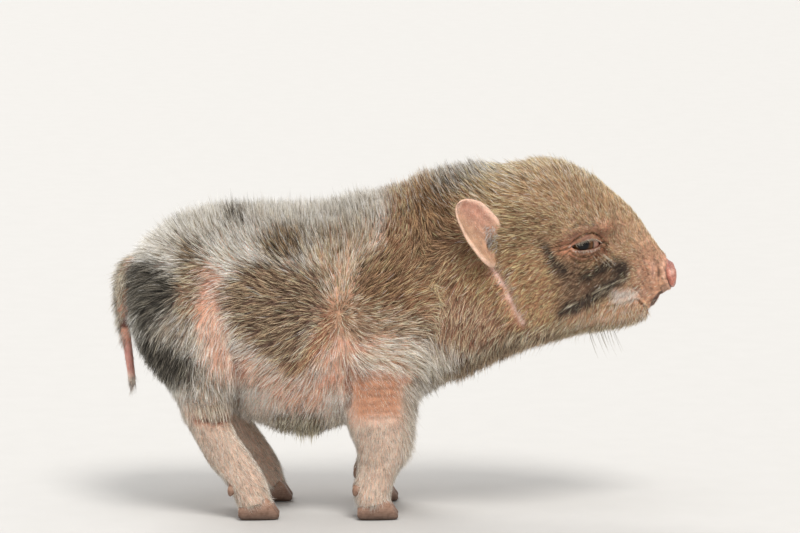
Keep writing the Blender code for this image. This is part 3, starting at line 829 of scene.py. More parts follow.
ear_adders = [("ear_form_" + w, lambda bm, side=side: loft(bm, ear_rings(side))) for side, w in ((-1, "right"), (1, "left"))]
tail_adder = [("tail_form", lambda bm: loft(bm, tail_rings()))]
ear_tree = tree_of(lambda bm: [add(bm) for _, add in ear_adders])
tail_tree = tree_of(lambda bm: tail_adder[0][1](bm))
body_bm = bmesh.new()
body_bm.from_mesh(skin.data)
body_tree = BVHTree.FromBMesh(body_bm)
body_bm.free()
joined(skin, ear_adders + tail_adder)

co = points_of(skin.data)
ear_near = np.zeros(len(co))
q = fold(co)
maybe = (q[:, 0] > 0.018) & (q[:, 0] < 0.066) & (q[:, 2] > 0.118) & (q[:, 1] < -0.016)
ear_near[:] = 9.0 * MM
ear_near[maybe] = distances(ear_tree, co[maybe], 9.0 * MM)
body_near = np.zeros(len(co))
body_near[maybe] = distances(body_tree, co[maybe], 9.0 * MM)
tail_near = np.full(len(co), 9.0 * MM)
maybe_tail = (co[:, 0] < -0.118) & (np.abs(co[:, 1]) < 0.013)
tail_near[maybe_tail] = distances(tail_tree, co[maybe_tail], 9.0 * MM)
tail_body = np.zeros(len(co))
tail_body[maybe_tail] = distances(body_tree, co[maybe_tail], 9.0 * MM)
seam = smooth(2.2 * MM, 0.6 * MM, np.maximum(ear_near, body_near)) * maybe
seam = np.maximum(seam, smooth(2.5 * MM, 0.6 * MM, np.maximum(tail_near, tail_body)) * maybe_tail)
co = relax(co, edges_of(skin.data), seam, 8)
set_points(skin.data, co)

bm = bmesh.new()
bm.from_mesh(skin.data)
bmesh.ops.remove_doubles(bm, verts=bm.verts[:], dist=0.02 * MM)
bmesh.ops.triangulate(bm, faces=bm.faces[:])
bm.to_mesh(skin.data)
bm.free()
skin.data.update()
skin.data.shade_smooth()
print("skin triangles", len(skin.data.polygons))

# ---------------------------------------------------------------- where things are on the final skin
co, n = points_of(skin.data), normals_of(skin.data)
q = fold(co)
ear_part = np.zeros(len(co))  # 1 on the ears
maybe = (q[:, 0] > 0.018) & (q[:, 0] < 0.066) & (q[:, 2] > 0.118) & (q[:, 1] < -0.016)
on_ear = distances(ear_tree, co[maybe], 9.0 * MM)
off_body = distances(body_tree, co[maybe], 9.0 * MM)
ear_part[maybe] = (on_ear < 0.5 * MM) & (off_body > 0.6 * MM)
tail_part = np.zeros(len(co))
maybe = (co[:, 0] < -0.118) & (np.abs(co[:, 1]) < 0.013)
tail_part[maybe] = distances(tail_tree, co[maybe], 9.0 * MM) < 0.5 * MM
tail_part = np.maximum(tail_part, (co[:, 2] < 0.100) & (co[:, 0] < -0.1255) & (np.abs(co[:, 1]) < 0.006))
ear_face = np.array((EAR_TIP - EAR_ROOT).normalized())
ear_across = np.array(EAR_ROOT - EAR_BASE_TOP)
ear_across = ear_across - ear_face * (ear_across @ ear_face)
ear_across /= np.linalg.norm(ear_across)
ear_out = np.cross(ear_face, ear_across)
ear_out = ear_out if ear_out[1] < 0 else -ear_out

# ---------------------------------------------------------------- markings
# Each patch: an outline in px and py, how soft its edge is, and what grows there.
LOOKS = {  # skin, hair at the root, hair at the tip
    "cream": ((226, 190, 170), (246, 240, 221), (252, 250, 244)),
    "saddle": ((212, 168, 142), (208, 173, 133), (252, 237, 207)),
    "hip": ((196, 150, 126), (144, 116, 88), (226, 203, 172)),
    "pink": ((239, 175, 150), (241, 189, 161), (254, 236, 216)),
    "flank": ((120, 90, 77), (69, 51, 41), (204, 170, 138)),
    "spot": ((103, 88, 75), (64, 53, 42), (184, 157, 126)),
    "black": ((74, 66, 60), (36, 33, 30), (118, 108, 96)),
    "charcoal": ((66, 60, 56), (36, 34, 32), (112, 106, 94)),
    "wedge": ((192, 170, 151), (162, 146, 127), (227, 215, 195)),
    "brown": ((164, 124, 97), (133, 89, 61), (231, 182, 143)),
    "dark": ((134, 103, 81), (77, 61, 46), (192, 152, 114)),
    "golden": ((184, 149, 121), (186, 138, 96), (252, 220, 170)),
    "cheek": ((184, 139, 111), (140, 99, 67), (236, 184, 138)),
    "rose": ((196, 145, 123), (168, 120, 92), (227, 186, 156)),
    "soot": ((73, 58, 49), (29, 24, 20), (101, 85, 70)),
    "muzzle": ((172, 130, 104), (180, 136, 102), (228, 194, 160)),
    "white": ((223, 194, 180), (207, 189, 172), (244, 235, 223)),
    "jaw": ((219, 166, 133), (198, 157, 113), (250, 225, 186)),
    "throat": ((174, 134, 108), (113, 89, 69), (191, 168, 140)),
    "belly": ((186, 149, 128), (123, 109, 89), (208, 195, 173)),
    "chest": ((232, 184, 160), (250, 218, 186), (253, 251, 238)),
    "bare": ((190, 138, 108), (208, 162, 134), (238, 210, 188)),
    "leg": ((205, 175, 155), (218, 198, 174), (252, 244, 232)),
    "thigh": ((206, 174, 152), (160, 146, 126), (232, 222, 206)),
    "hock": ((148, 86, 60), (128, 80, 58), (196, 156, 126)),
    "russet": ((182, 136, 111), (170, 114, 86), (241, 189, 151)),
    "fold": ((242, 208, 196), (216, 180, 158), (242, 224, 208)),
    "blush": ((188, 142, 117), (158, 120, 88), (226, 194, 156)),
    "tan": ((182, 146, 120), (172, 136, 106), (230, 204, 174)),
    "sootlow": ((122, 95, 77), (78, 59, 45), (166, 134, 105)),
    "temple": ((170, 130, 100), (106, 82, 56), (208, 176, 136)),
    "eye": ((136, 93, 70), (90, 62, 43), (178, 139, 104)),
}
PATCHES = (
    ("saddle", 12, ((306, 236), (330, 226), (368, 216), (380, 250), (366, 290), (345, 312), (326, 322), (316, 296))),
    ("hip", 9, ((178, 262), (206, 256), (220, 268), (208, 322), (190, 334), (174, 312))),
    ("thigh", 12, ((186, 392), (204, 356), (232, 376), (244, 400), (240, 424), (205, 420), (190, 404))),
    ("belly", 9, ((222, 404), (262, 412), (344, 412), (352, 460), (220, 460))),
    ("pink", 10, ((208, 270), (222, 272), (229, 300), (232, 334), (247, 354), (269, 370), (300, 379), (318, 373), (331, 352), (338, 330), (352, 318), (366, 322), (388, 332), (380, 352), (358, 362), (354, 402), (319, 410), (287, 410), (256, 402), (234, 386), (212, 361), (203, 330))),
    ("russet", 8, ((226, 300), (240, 332), (262, 354), (284, 376), (306, 376), (330, 356), (346, 330), (350, 306), (326, 296), (312, 330), (300, 350), (282, 356), (258, 336), (244, 310))),
    ("tan", 8, ((340, 300), (396, 304), (440, 312), (476, 326), (462, 344), (420, 340), (380, 338), (352, 346), (336, 330))),
    ("flank", 7, ((227, 280), (246, 264), (276, 260), (306, 265), (321, 273), (324, 298), (318, 321), (304, 345), (294, 364), (284, 366), (262, 350), (243, 332), (229, 311), (225, 293))),
    ("spot", 6, ((260, 240), (280, 225), (305, 226), (311, 243), (300, 257), (280, 258), (262, 254))),
    ("black", 4, ((226, 206), (247, 206), (245, 222), (228, 223))),
    ("wedge", 7, ((152, 330), (170, 316), (196, 318), (206, 340), (196, 352), (170, 345))),
    ("charcoal", 7, ((130, 258), (150, 258), (168, 268), (180, 288), (178, 308), (164, 320), (156, 334), (140, 330), (126, 304), (124, 274))),
    ("charcoal", 7, ((136, 332), (156, 336), (180, 348), (198, 356), (202, 368), (192, 384), (170, 386), (150, 372), (138, 350))),
    ("spot", 8, ((178, 242), (198, 238), (202, 252), (192, 265), (178, 262))),
    ("brown", 10, ((388, 186), (460, 160), (476, 215), (480, 270), (474, 318), (432, 318), (396, 310), (364, 312), (354, 304), (358, 276), (376, 250), (386, 215))),
    ("dark", 8, ((412, 190), (440, 178), (452, 192), (448, 222), (444, 262), (422, 272), (412, 250))),
    ("dark", 8, ((366, 254), (392, 246), (410, 256), (404, 296), (372, 306), (358, 290))),
    ("golden", 12, ((456, 168), (500, 130), (720, 130), (710, 300), (640, 300), (600, 330), (540, 335), (490, 330), (474, 280), (468, 215))),
    ("temple", 10, ((498, 214), (530, 206), (552, 216), (560, 232), (548, 252), (520, 256), (500, 242))),
    ("cheek", 16, ((458, 262), (500, 250), (548, 256), (562, 300), (552, 334), (500, 340), (462, 330))),
    ("rose", 12, ((430, 304), (476, 300), (506, 322), (500, 346), (462, 358), (432, 342))),
    ("blush", 10, ((588, 226), (604, 214), (622, 226), (616, 242), (600, 236))),
    ("tan", 8, ((332, 298), (350, 292), (366, 304), (366, 326), (350, 344), (336, 330))),
    ("muzzle", 12, ((646, 238), (700, 238), (700, 292), (645, 312), (624, 306), (614, 292), (628, 272), (636, 252))),
    ("sootlow", 9, ((536, 240), (550, 243), (562, 261), (600, 266), (622, 258), (626, 272), (612, 288), (594, 304), (568, 318), (554, 312), (558, 292), (548, 268))),
    ("soot", 4, ((622, 272), (606, 279), (592, 286), (578, 296), (562, 306), (555, 311), (558, 318), (572, 313), (586, 303), (600, 294), (616, 285), (625, 279))),
    ("soot", 4, ((612, 259), (624, 261), (627, 274), (617, 277), (610, 268))),
    ("soot", 3.5, ((606, 258), (611, 263), (601, 272), (588, 279), (577, 281), (577, 275), (588, 270), (597, 264))),
    ("soot", 5, ((539, 244), (547, 246), (556, 262), (566, 270), (560, 276), (548, 264))),
    ("eye", 5, ((550, 246), (562, 234), (586, 227), (602, 234), (606, 252), (592, 262), (572, 264), (556, 258))),
    ("jaw", 8, ((560, 320), (600, 304), (634, 299), (648, 306), (652, 330), (600, 340), (548, 352))),
    ("white", 4, ((609, 289), (636, 291), (633, 300), (611, 302))),
    ("throat", 8, ((400, 380), (432, 366), (476, 352), (510, 336), (550, 328), (600, 328), (652, 318), (652, 345), (540, 380), (470, 410), (400, 430))),
    ("chest", 8, ((348, 354), (366, 345), (400, 342), (442, 345), (462, 358), (430, 376), (404, 384), (376, 366), (352, 366))),
    ("pink", 5, ((331, 342), (345, 334), (351, 346), (345, 362), (331, 370), (319, 366))),
    ("bare", 10, ((350, 374), (380, 369), (408, 374), (400, 416), (353, 417))),
)


def named(name):
    return next(corners for look, _, corners in PATCHES if look == name)


def leg_share(p, ease=0.0):
    """How far points are on a fore and on a hind leg, 0 to 1; the ease widens the passage to the body."""
    x, y, z = p[:, 0] / MM, np.abs(p[:, 1]) / MM, p[:, 2] / MM
    x = x - np.where((p[:, 1] > 0) & (x < -45), LEFT_HIND_STEP * smooth(84, 34, z), 0.0)
    fore = smooth(68 + ease, 58 - ease, z) * smooth(9, 13, y) * smooth(-38, -33, x) * smooth(29, 24, x)
    hind = smooth(70 + ease, 60 - ease, z) * smooth(9, 13, y) * smooth(-58, -64, x)
    return fore, hind


def blend_looks(p, jitter):
    """Skin, root and tip colours at points, from the patches painted one over the other."""
    f = outline(p)
    x, y, z = p[:, 0] / MM, np.abs(p[:, 1]) / MM, p[:, 2] / MM
    wander = np.stack([noise(p, 10 * MM, 3) + 0.6 * noise(p, 4 * MM, 4), noise(p, 10 * MM, 5) + 0.6 * noise(p, 4 * MM, 6)], 1)
    small = smooth(78, 95, x)[:, None]
    f = f + wander * (3.2 - 1.2 * small) + jitter
    table = {k: [linear(*c) for c in v] for k, v in LOOKS.items()}
    tones = [np.tile(c, (len(p), 1)) for c in table["cream"]]

    def lay(name, amount):
        w = np.clip(amount, 0, 1)[:, None]
        for i in range(3):
            tones[i] = tones[i] * (1 - w) + table[name][i] * w

    fore, hind = leg_share(p)
    for name, soft, corners in PATCHES:
        amount = smooth(-soft, soft, inside(f, corners))
        if name == "bare":
            amount = amount * smooth(8, 14, y)
        elif name in ("pink", "belly"):
            amount = amount * (1 - hind) * (1 - fore * smooth(372, 384, f[:, 1]))
        lay(name, amount)
    lay("leg", fore * smooth(410, 428, f[:, 1]))
    lay("leg", hind * smooth(406, 424, f[:, 1]))
    lay("leg", smooth(398, 408, f[:, 0]) * smooth(376, 390, f[:, 1]) * (x < 26) * (z < 80) * (y > 8))
    d, t = along(f, HOCK_FOLD)
    lay("hock", 0.9 * np.exp(-((d / 4.5) ** 2)) * (x < -70) * (z < 70))
    d, t = along(f, JOWL_FOLD)
    lay("fold", 0.95 * np.exp(-((d / (2.2 + 0.9 * noise(p, 3 * MM, 51))) ** 2)) * (y > 15))
    lay("belly", 0.7 * smooth(30, 12, y) * smooth(72, 55, z) * (x > -105) * (x < 24) * (1 - fore) * (1 - hind))
    return tones


# ---------------------------------------------------------------- colours of the skin
no_jitter = np.zeros((len(co), 2))
tone, _, _ = blend_looks(co, no_jitter)
q = fold(co)
flat = outline(co)
a, b, h = eye_frame(q)
near_eye = (np.hypot(a, b) < 18) & (q[:, 1] < -0.006) & (h > 0)
flat_eye = np.stack([a, b], 1)


def paint(base, colour, amount):
    w = np.clip(amount, 0, 1)[:, None]
    return base * (1 - w) + linear(*colour) * w


lid_gap = gap_between_lids(a, b)
top, bottom = lids(a)
in_span = smooth(-9.5, -6.0, a) * smooth(9.5, 6.5, a)
tone = paint(tone, (124, 88, 69), near_eye * smooth(-11, -6, a) * smooth(11, 6, a) * smooth(1.0, 3.0, b - top) * smooth(9.0, 5.5, b - top) * 0.8)
tone = paint(tone, (130, 92, 74), near_eye * in_span * smooth(3.2, 1.6, np.abs(b - top - 1.8)) * 0.8)
tone = paint(tone, (166, 130, 108), near_eye * in_span * smooth(2.6, 1.4, np.abs(bottom - b - 1.4)) * 0.5)
tone = paint(tone, (112, 72, 56), near_eye * smooth(-1.0, -0.3, lid_gap) * 0.6)
tone = paint(tone, (66, 44, 38), near_eye * smooth(-0.45, 0.05, lid_gap))
# Painted shade in the creases of the lids and brow, strongest in the crease at the front corner.
for line, wide, dark in ((UPPER_CREASE, 0.40, 0.5), (BROW_CREASE, 1.2, 0.25), (LOWER_CREASES[0], 0.40, 0.30), (LOWER_CREASES[1], 0.5, 0.22), (CORNER_CREASES[0], 0.45, 0.4), (CORNER_CREASES[3], 1.2, 0.9)):
    d, t = along(flat_eye, on_eye(line))
    tone = paint(tone, (84, 54, 42), near_eye * np.exp(-((d / wide) ** 2)) * smooth(0, 0.3, t) * smooth(0, 0.3, 1 - t) * dark)
rear_lid, _ = along(flat_eye, on_eye(((566, 249), (558, 252), (551, 252))))
tone = paint(tone, (214, 150, 116), near_eye * np.exp(-((rear_lid / 2.2) ** 2)) * 0.5)
across, up, ahead = disc_frame(q)
rho = np.hypot(across / 12.3, (up + 0.1) / 8.9)
edge = ahead_of_edge(q)
snout = (q[:, 0] > 0.126) * 1.0
disc = smooth(-0.1, 1.0, edge) * snout
# Lines on the muzzle: the dark ones are painted shade in its creases and under the disc's lower edge; the pale ones are
# the skin's own paler bands.
for line, wide, colour, dark in (
    (((655, 252), (655.5, 262), (654, 278)), 0.9, (112, 76, 60), 0.70),
    (((640, 254), (642, 264), (642, 276)), 1.0, (124, 88, 68), 0.45),
    (((647, 256), (650, 266), (650, 280)), 3.0, (212, 166, 146), 0.55),
    (((634, 262), (636, 272), (634, 282)), 2.4, (206, 160, 138), 0.35),
    (((628, 284), (638, 290), (648, 292)), 1.4, (128, 88, 70), 0.35),
    (((644, 286), (652, 289), (658, 288)), 1.2, (112, 76, 62), 0.40),
):
    d, t = along(flat, line)
    tone = paint(tone, colour, np.exp(-(((d + 0.8 * noise(co, 3 * MM, 35)) / wide) ** 2)) * smooth(0, 0.3, t) * smooth(0, 0.3, 1 - t) * dark * (q[:, 1] < -0.003))
tone = paint(tone, (226, 190, 168), smooth(-3.4, -1.0, edge) * snout * smooth(134, 128, q[:, 2] / MM) * (0.25 + 0.55 * smooth(-0.2, 0.6, noise(co, 1.8 * MM, 33))))
tone = paint(tone, (150, 98, 82), smooth(-4.5, -1.0, edge) * snout * smooth(126, 130, q[:, 2] / MM) * 0.5)
tone = paint(tone, (178, 122, 104), disc)
tone = paint(tone, (178, 104, 88), disc * smooth(0.55, 1.0, rho) * 0.5)
# Painted highlight: a pale spot on the side of the disc stands in for its wet gloss catching the light.
tone = paint(tone, (226, 190, 176), disc * np.exp(-(((flat[:, 0] - 670.5) / 3.0) ** 2) - ((flat[:, 1] - 265) / 6.5) ** 2) * (q[:, 1] < -0.004) * 0.75)
tone = paint(tone, (138, 78, 66), disc * smooth(3.5, 7.5, up) * 0.6)
tone = paint(tone, (196, 112, 84), disc * smooth(-2.0, -6.0, up) * 0.45)
tone = paint(tone, (138, 96, 80), disc * smooth(0.05, 0.7, noise(co, 1.6 * MM, 31)) * 0.45)
# Painted shade in the groove round the rim of the disc.
tone = paint(tone, (112, 66, 56), np.exp(-(((edge - 0.2) / 0.45) ** 2)) * snout * smooth(128, 118, q[:, 2] / MM) * 0.6)
# Nostrils painted near-black as the shade inside the holes.
hole = np.hypot((across + 4.4 + 0.35 * (up - 0.2)) / 2.05, (up - 0.2) / 2.75)
tone = paint(tone, (46, 20, 18), disc * smooth(1.05, 0.75, hole))
# The hollow between the snout and the tip of the lip: pink-grey with mottles at the front, and painted dark on the
# sides as the shade in the hollow.
opening, t = along(flat, MOUTH_OPENING)
mouth_wide = 1.0 + 2.4 * np.sin(np.pi * np.clip(t, 0, 1))
mouth_dark = smooth(mouth_wide + 1.2, mouth_wide - 0.6, opening) * (q[:, 0] > 0.117)
under_snout = smooth(0.35, 0.75, n[:, 0]) * smooth(-0.05, -0.45, n[:, 2]) * smooth(99.5, 102, q[:, 2] / MM) * smooth(113.5, 111.0, q[:, 2] / MM) * (q[:, 0] > 0.116) * (edge < 0.5)
tone = paint(tone, (178, 124, 104), under_snout * 0.6)
side_of_lip = smooth(4.0, 9.5, -q[:, 1] / MM)
mottled = 0.5 + 0.5 * noise(co, 2.0 * MM, 41)
tone = paint(tone, (168, 116, 100), mouth_dark * (1 - side_of_lip) * 0.9)
tone = paint(tone, (196, 146, 126), mouth_dark * (1 - side_of_lip) * smooth(0.5, 0.8, mottled) * 0.5)
# Painted shade on the sides of the hollow, mottled darker still.
tone = paint(tone, (96, 64, 56), mouth_dark * side_of_lip * 0.9)
tone = paint(tone, (54, 36, 32), mouth_dark * side_of_lip * (0.3 + 0.5 * mottled))
# Painted shade along the groove of the lip line, darkest where the groove is deepest.
lip, t = along(flat, LIP_LINE)
tone = paint(tone, (104, 62, 48), np.exp(-((lip / 1.2) ** 2)) * smooth(0, 0.3, 1 - t) * (q[:, 0] > 0.085) * (0.08 + 0.6 * smooth(0.42, 0.12, t)))
# Painted shade in the notch across the front of the mouth.
tone = paint(tone, (84, 48, 40), np.exp(-(((q[:, 2] / MM - 101.2) / 0.6) ** 2)) * smooth(0.2, 0.6, n[:, 0]) * (q[:, 0] > 0.112) * 0.8)
ear_tone = np.tile(linear(210, 164, 138), (len(co), 1))
e = q / MM - np.array(EAR_ROOT)
ear_len, ear_side = e @ ear_face, e @ ear_across
ear_tone = paint(ear_tone, (210, 152, 132), smooth(7, -5, ear_side) * smooth(2, 14, ear_len) * 0.7)
ear_tone = paint(ear_tone, (206, 164, 132), smooth(-2, 8, ear_side) * 0.7)
ear_front = (n * np.stack([np.ones(len(n)), np.where(co[:, 1] > 0, -1.0, 1.0), np.ones(len(n))], 1)) @ ear_out
half_width = np.interp(ear_len, [r[0] for r in EAR], [r[2] for r in EAR])
middle = np.interp(ear_len, [r[0] for r in EAR], [r[1] for r in EAR])
rim = np.abs(ear_side - middle) / np.maximum(half_width, 1)
ear_tone = ear_tone * (1 + 0.05 * noise(co, 3.5 * MM, 21) + 0.05 * noise(co, 1.6 * MM, 22))[:, None]
ear_tone = paint(ear_tone, (236, 206, 186), np.maximum(smooth(0.70, 0.95, rim), smooth(26.0, 29.5, ear_len)) * 0.65)
ear_tone = paint(ear_tone, (176, 128, 98), smooth(0.1, -0.4, ear_front) * 0.8)
# Painted shade in the pit of the ear's canal.
ear_tone = paint(ear_tone, (128, 92, 76), np.exp(-(((ear_len - 1.0) / 2.3) ** 2) - ((ear_side - middle) / 3.0) ** 2) * (ear_front > 0) * 0.6)
ear_tone = ear_tone * (1 + 0.10 * noise(co, 2.4 * MM, 23) + 0.08 * noise(co, 1.0 * MM, 24))[:, None]
ear_tone = ear_tone * np.array([0.90, 0.92, 0.92])
w = ear_part[:, None]
tone = tone * (1 - w) + ear_tone * w
tail_tone = np.tile(linear(214, 158, 136), (len(co), 1))
tail_tone = paint(tail_tone, (202, 142, 134), smooth(88, 80, co[:, 2] / MM) * 0.8)
tail_tone = tail_tone * (1 + 0.10 * noise(co, 2.2 * MM, 25) + 0.08 * noise(co, 0.9 * MM, 26))[:, None]
tail_tone = paint(tail_tone, (92, 48, 36), smooth(3.6, 1.8, np.abs(co[:, 2] / MM - 94.5)))
tail_tone = paint(tail_tone, (240, 212, 196), smooth(72, 64, co[:, 2] / MM))
tail_tone = paint(tail_tone, (160, 130, 106), smooth(100, 108, co[:, 2] / MM) * 0.7)
w = (tail_part * (co[:, 2] < 0.112))[:, None]
tone = tone * (1 - w) + tail_tone * w
# painted shade and light: folds are darker in their floors, where shade falls, and paler on their crests, where light
# falls
soft_co = relax(co, edges_of(skin.data), np.ones(len(co)), 4)
hollow = ((soft_co - co) * n).sum(1) / MM
jowl, _ = along(flat, JOWL_FOLD)
hollow = hollow * (1 - np.exp(-((jowl / 6.0) ** 2))) * (1 - 0.6 * ear_part)
tone = tone * np.exp(-4.2 * np.clip(hollow, -0.05, 0.15))[:, None]
on_muzzle = smooth(0.112, 0.124, q[:, 0]) * (1 - disc)
tone = tone * (1 + on_muzzle * (0.28 * noise(co, 3.4 * MM, 63) + 0.34 * noise(co, 1.6 * MM, 61) + 0.30 * noise(co, 0.8 * MM, 62)))[:, None]
tone = paint(tone, (110, 76, 58), on_muzzle * smooth(0.30, 0.75, noise(co, 1.3 * MM, 64)) * 0.55)
tone = paint(tone, (214, 172, 152), on_muzzle * smooth(0.35, 0.8, noise(co, 2.6 * MM, 65)) * 0.45)
lids_skin = near_eye * smooth(12.5, 9.0, np.hypot(a, b)) * (lid_gap < 0.2)
tone = tone * (1 - lids_skin[:, None] * np.array([0.12, 0.15, 0.20]))
round_eye = near_eye * smooth(15.0, 10.0, np.hypot(a, b)) * (lid_gap < 0.1)
tone = tone * (1 + round_eye * (0.22 * noise(co, 1.5 * MM, 66) + 0.18 * noise(co, 0.8 * MM, 67)))[:, None]
tone = paint(tone, (156, 124, 94), round_eye * smooth(0.10, 0.6, noise(co, 2.0 * MM, 68)) * 0.5)
tone = paint(tone, (84, 60, 48), round_eye * smooth(0.25, 0.7, noise(co, 1.2 * MM, 69)) * smooth(2.0, -3.0, b) * 0.45)
tone = np.clip(tone, 0.004, 0.9)
wet = disc * 0.9
wet = np.maximum(wet, near_eye * smooth(-0.9, 0.2, lid_gap))
wet = np.maximum(wet, mouth_dark * 0.5)

attribute = skin.data.attributes.new("tone", "FLOAT_COLOR", "POINT")
attribute.data.foreach_set("color", np.hstack([tone, np.ones((len(tone), 1))]).astype(np.float32).ravel())
attribute = skin.data.attributes.new("wet", "FLOAT", "POINT")
attribute.data.foreach_set("value", wet.astype(np.float32))


# ---------------------------------------------------------------- materials
def nodes_of(name):
    made = bpy.data.materials.new(name)
    made.use_nodes = True
    tree = made.node_tree
    return made, tree, tree.nodes["Principled BSDF"]


def link(tree, a, out, b, into):
    tree.links.new(a.outputs[out], b.inputs[into])


def node(tree, kind, **values):
    made = tree.nodes.new(kind)
    for key, value in values.items():
        if hasattr(made, key):
            setattr(made, key, value)
        else:
            made.inputs[key].default_value = value
    return made


def mix(tree, blend, amount):
    made = tree.nodes.new("ShaderNodeMix")
    made.data_type = "RGBA"
    made.blend_type = blend
    made.inputs[0].default_value = amount
    return made


def ramp(tree, stops):
    made = tree.nodes.new("ShaderNodeValToRGB")
    while len(made.color_ramp.elements) < len(stops):
        made.color_ramp.elements.new(0.5)
    for element, (at, colour) in zip(made.color_ramp.elements, stops):
        element.position = at
        element.color = (*colour, 1.0)
    return made


def skin_material():
    made, tree, shader = nodes_of("piglet_skin")
    tone_in = node(tree, "ShaderNodeAttribute", attribute_name="tone")
    wet_in = node(tree, "ShaderNodeAttribute", attribute_name="wet")
    where = tree.nodes.new("ShaderNodeTexCoord")
    blotch = node(tree, "ShaderNodeTexNoise", Scale=260.0, Detail=4.0)
    fine = node(tree, "ShaderNodeTexNoise", Scale=1500.0, Detail=3.0)
    pores = node(tree, "ShaderNodeTexVoronoi", Scale=1150.0)
    for texture in (blotch, fine, pores):
        link(tree, where, "Object", texture, "Vector")
    warm = ramp(tree, ((0.30, (0.80, 0.70, 0.68)), (0.52, (1.0, 1.0, 1.0)), (0.72, (1.12, 1.05, 1.02))))
    link(tree, blotch, "Fac", warm, "Fac")
    speck = ramp(tree, ((0.32, (0.86, 0.80, 0.78)), (0.55, (1.0, 1.0, 1.0)), (0.78, (1.08, 1.06, 1.05))))
    link(tree, fine, "Fac", speck, "Fac")
    one = mix(tree, "MULTIPLY", 0.8)
    link(tree, tone_in, "Color", one, 6)
    link(tree, warm, "Color", one, 7)
    two = mix(tree, "MULTIPLY", 0.8)
    link(tree, one, 2, two, 6)
    link(tree, speck, "Color", two, 7)
    link(tree, two, 2, shader, "Base Color")
    dry = node(tree, "ShaderNodeMapRange")
    dry.inputs["To Min"].default_value = 0.46
    dry.inputs["To Max"].default_value = 0.68
    link(tree, fine, "Fac", dry, "Value")
    gloss = tree.nodes.new("ShaderNodeMix")
    gloss.inputs[3].default_value = 0.24
    link(tree, wet_in, "Fac", gloss, 0)
    link(tree, dry, "Result", gloss, 2)
    link(tree, gloss, 0, shader, "Roughness")
    height = tree.nodes.new("ShaderNodeMath")
    height.operation = "ADD"
    link(tree, fine, "Fac", height, 0)
    link(tree, pores, "Distance", height, 1)
    bump = node(tree, "ShaderNodeBump", Strength=0.35, Distance=0.0004)
    link(tree, height, "Value", bump, "Height")
    link(tree, bump, "Normal", shader, "Normal")
    shader.inputs["Subsurface Weight"].default_value = 0.12
    shader.inputs["Subsurface Radius"].default_value = (1.0, 0.45, 0.3)
    shader.inputs["Subsurface Scale"].default_value = 0.0012
    shader.inputs["Specular IOR Level"].default_value = 0.45
    return made


def coat_material():
    made, tree, shader = nodes_of("piglet_coat")
    tone_in = node(tree, "ShaderNodeAttribute", attribute_name="tone")
    where = tree.nodes.new("ShaderNodeTexCoord")
    streak = node(tree, "ShaderNodeTexNoise", Scale=900.0, Detail=2.0)
    wide = node(tree, "ShaderNodeTexNoise", Scale=130.0, Detail=3.0)
    for texture in (streak, wide):
        link(tree, where, "Object", texture, "Vector")
    vary = ramp(tree, ((0.30, (0.78, 0.76, 0.74)), (0.55, (1.0, 1.0, 1.0)), (0.75, (1.14, 1.13, 1.12))))
    link(tree, streak, "Fac", vary, "Fac")
    patchy = ramp(tree, ((0.35, (0.90, 0.88, 0.86)), (0.65, (1.06, 1.06, 1.05))))
    link(tree, wide, "Fac", patchy, "Fac")
    one = mix(tree, "MULTIPLY", 0.75)
    link(tree, tone_in, "Color", one, 6)
    link(tree, vary, "Color", one, 7)
    two = mix(tree, "MULTIPLY", 0.9)
    link(tree, one, 2, two, 6)
    link(tree, patchy, "Color", two, 7)
    link(tree, two, 2, shader, "Base Color")
    rough = node(tree, "ShaderNodeMapRange")
    rough.inputs["To Min"].default_value = 0.42
    rough.inputs["To Max"].default_value = 0.66
    link(tree, streak, "Fac", rough, "Value")
    link(tree, rough, "Result", shader, "Roughness")
    shader.inputs["Specular IOR Level"].default_value = 0.35
    shader.inputs["Sheen Weight"].default_value = 0.08
    shader.inputs["Sheen Roughness"].default_value = 0.4
    return made


def horn_material(name, low, high):
    made, tree, shader = nodes_of(name)
    where = tree.nodes.new("ShaderNodeTexCoord")
    split = tree.nodes.new("ShaderNodeSeparateXYZ")
    link(tree, where, "Object", split, "Vector")
    level = node(tree, "ShaderNodeMapRange")
    level.inputs["From Min"].default_value = low * MM
    level.inputs["From Max"].default_value = high * MM
    link(tree, split, "Z", level, "Value")
    colours = ramp(
        tree,
        (
            (0.0, tuple(linear(98, 78, 66))),
            (0.30, tuple(linear(136, 108, 92))),
            (0.62, tuple(linear(170, 136, 116))),
            (0.90, tuple(linear(186, 148, 126))),
        ),
    )
    link(tree, level, "Result", colours, "Fac")
    rings = node(tree, "ShaderNodeTexWave", Scale=260.0, Distortion=4.5, Detail=2.0, bands_direction="Z")
    link(tree, where, "Object", rings, "Vector")
    grime = node(tree, "ShaderNodeTexNoise", Scale=420.0, Detail=4.0)
    link(tree, where, "Object", grime, "Vector")
    ringed = ramp(tree, ((0.2, (0.93, 0.91, 0.90)), (0.8, (1.03, 1.03, 1.02))))
    link(tree, rings, "Fac", ringed, "Fac")
    dirty = ramp(tree, ((0.34, (0.62, 0.54, 0.48)), (0.56, (1.0, 1.0, 1.0))))
    link(tree, grime, "Fac", dirty, "Fac")
    one = mix(tree, "MULTIPLY", 0.7)
    link(tree, colours, "Color", one, 6)
    link(tree, ringed, "Color", one, 7)
    two = mix(tree, "MULTIPLY", 0.8)
    link(tree, one, 2, two, 6)
    link(tree, dirty, "Color", two, 7)
    link(tree, two, 2, shader, "Base Color")
    rough = node(tree, "ShaderNodeMapRange")
    rough.inputs["To Min"].default_value = 0.32
    rough.inputs["To Max"].default_value = 0.62
    link(tree, grime, "Fac", rough, "Value")
    link(tree, rough, "Result", shader, "Roughness")
    bump = node(tree, "ShaderNodeBump", Strength=0.2, Distance=0.0003)
    link(tree, rings, "Fac", bump, "Height")
    link(tree, bump, "Normal", shader, "Normal")
    return made


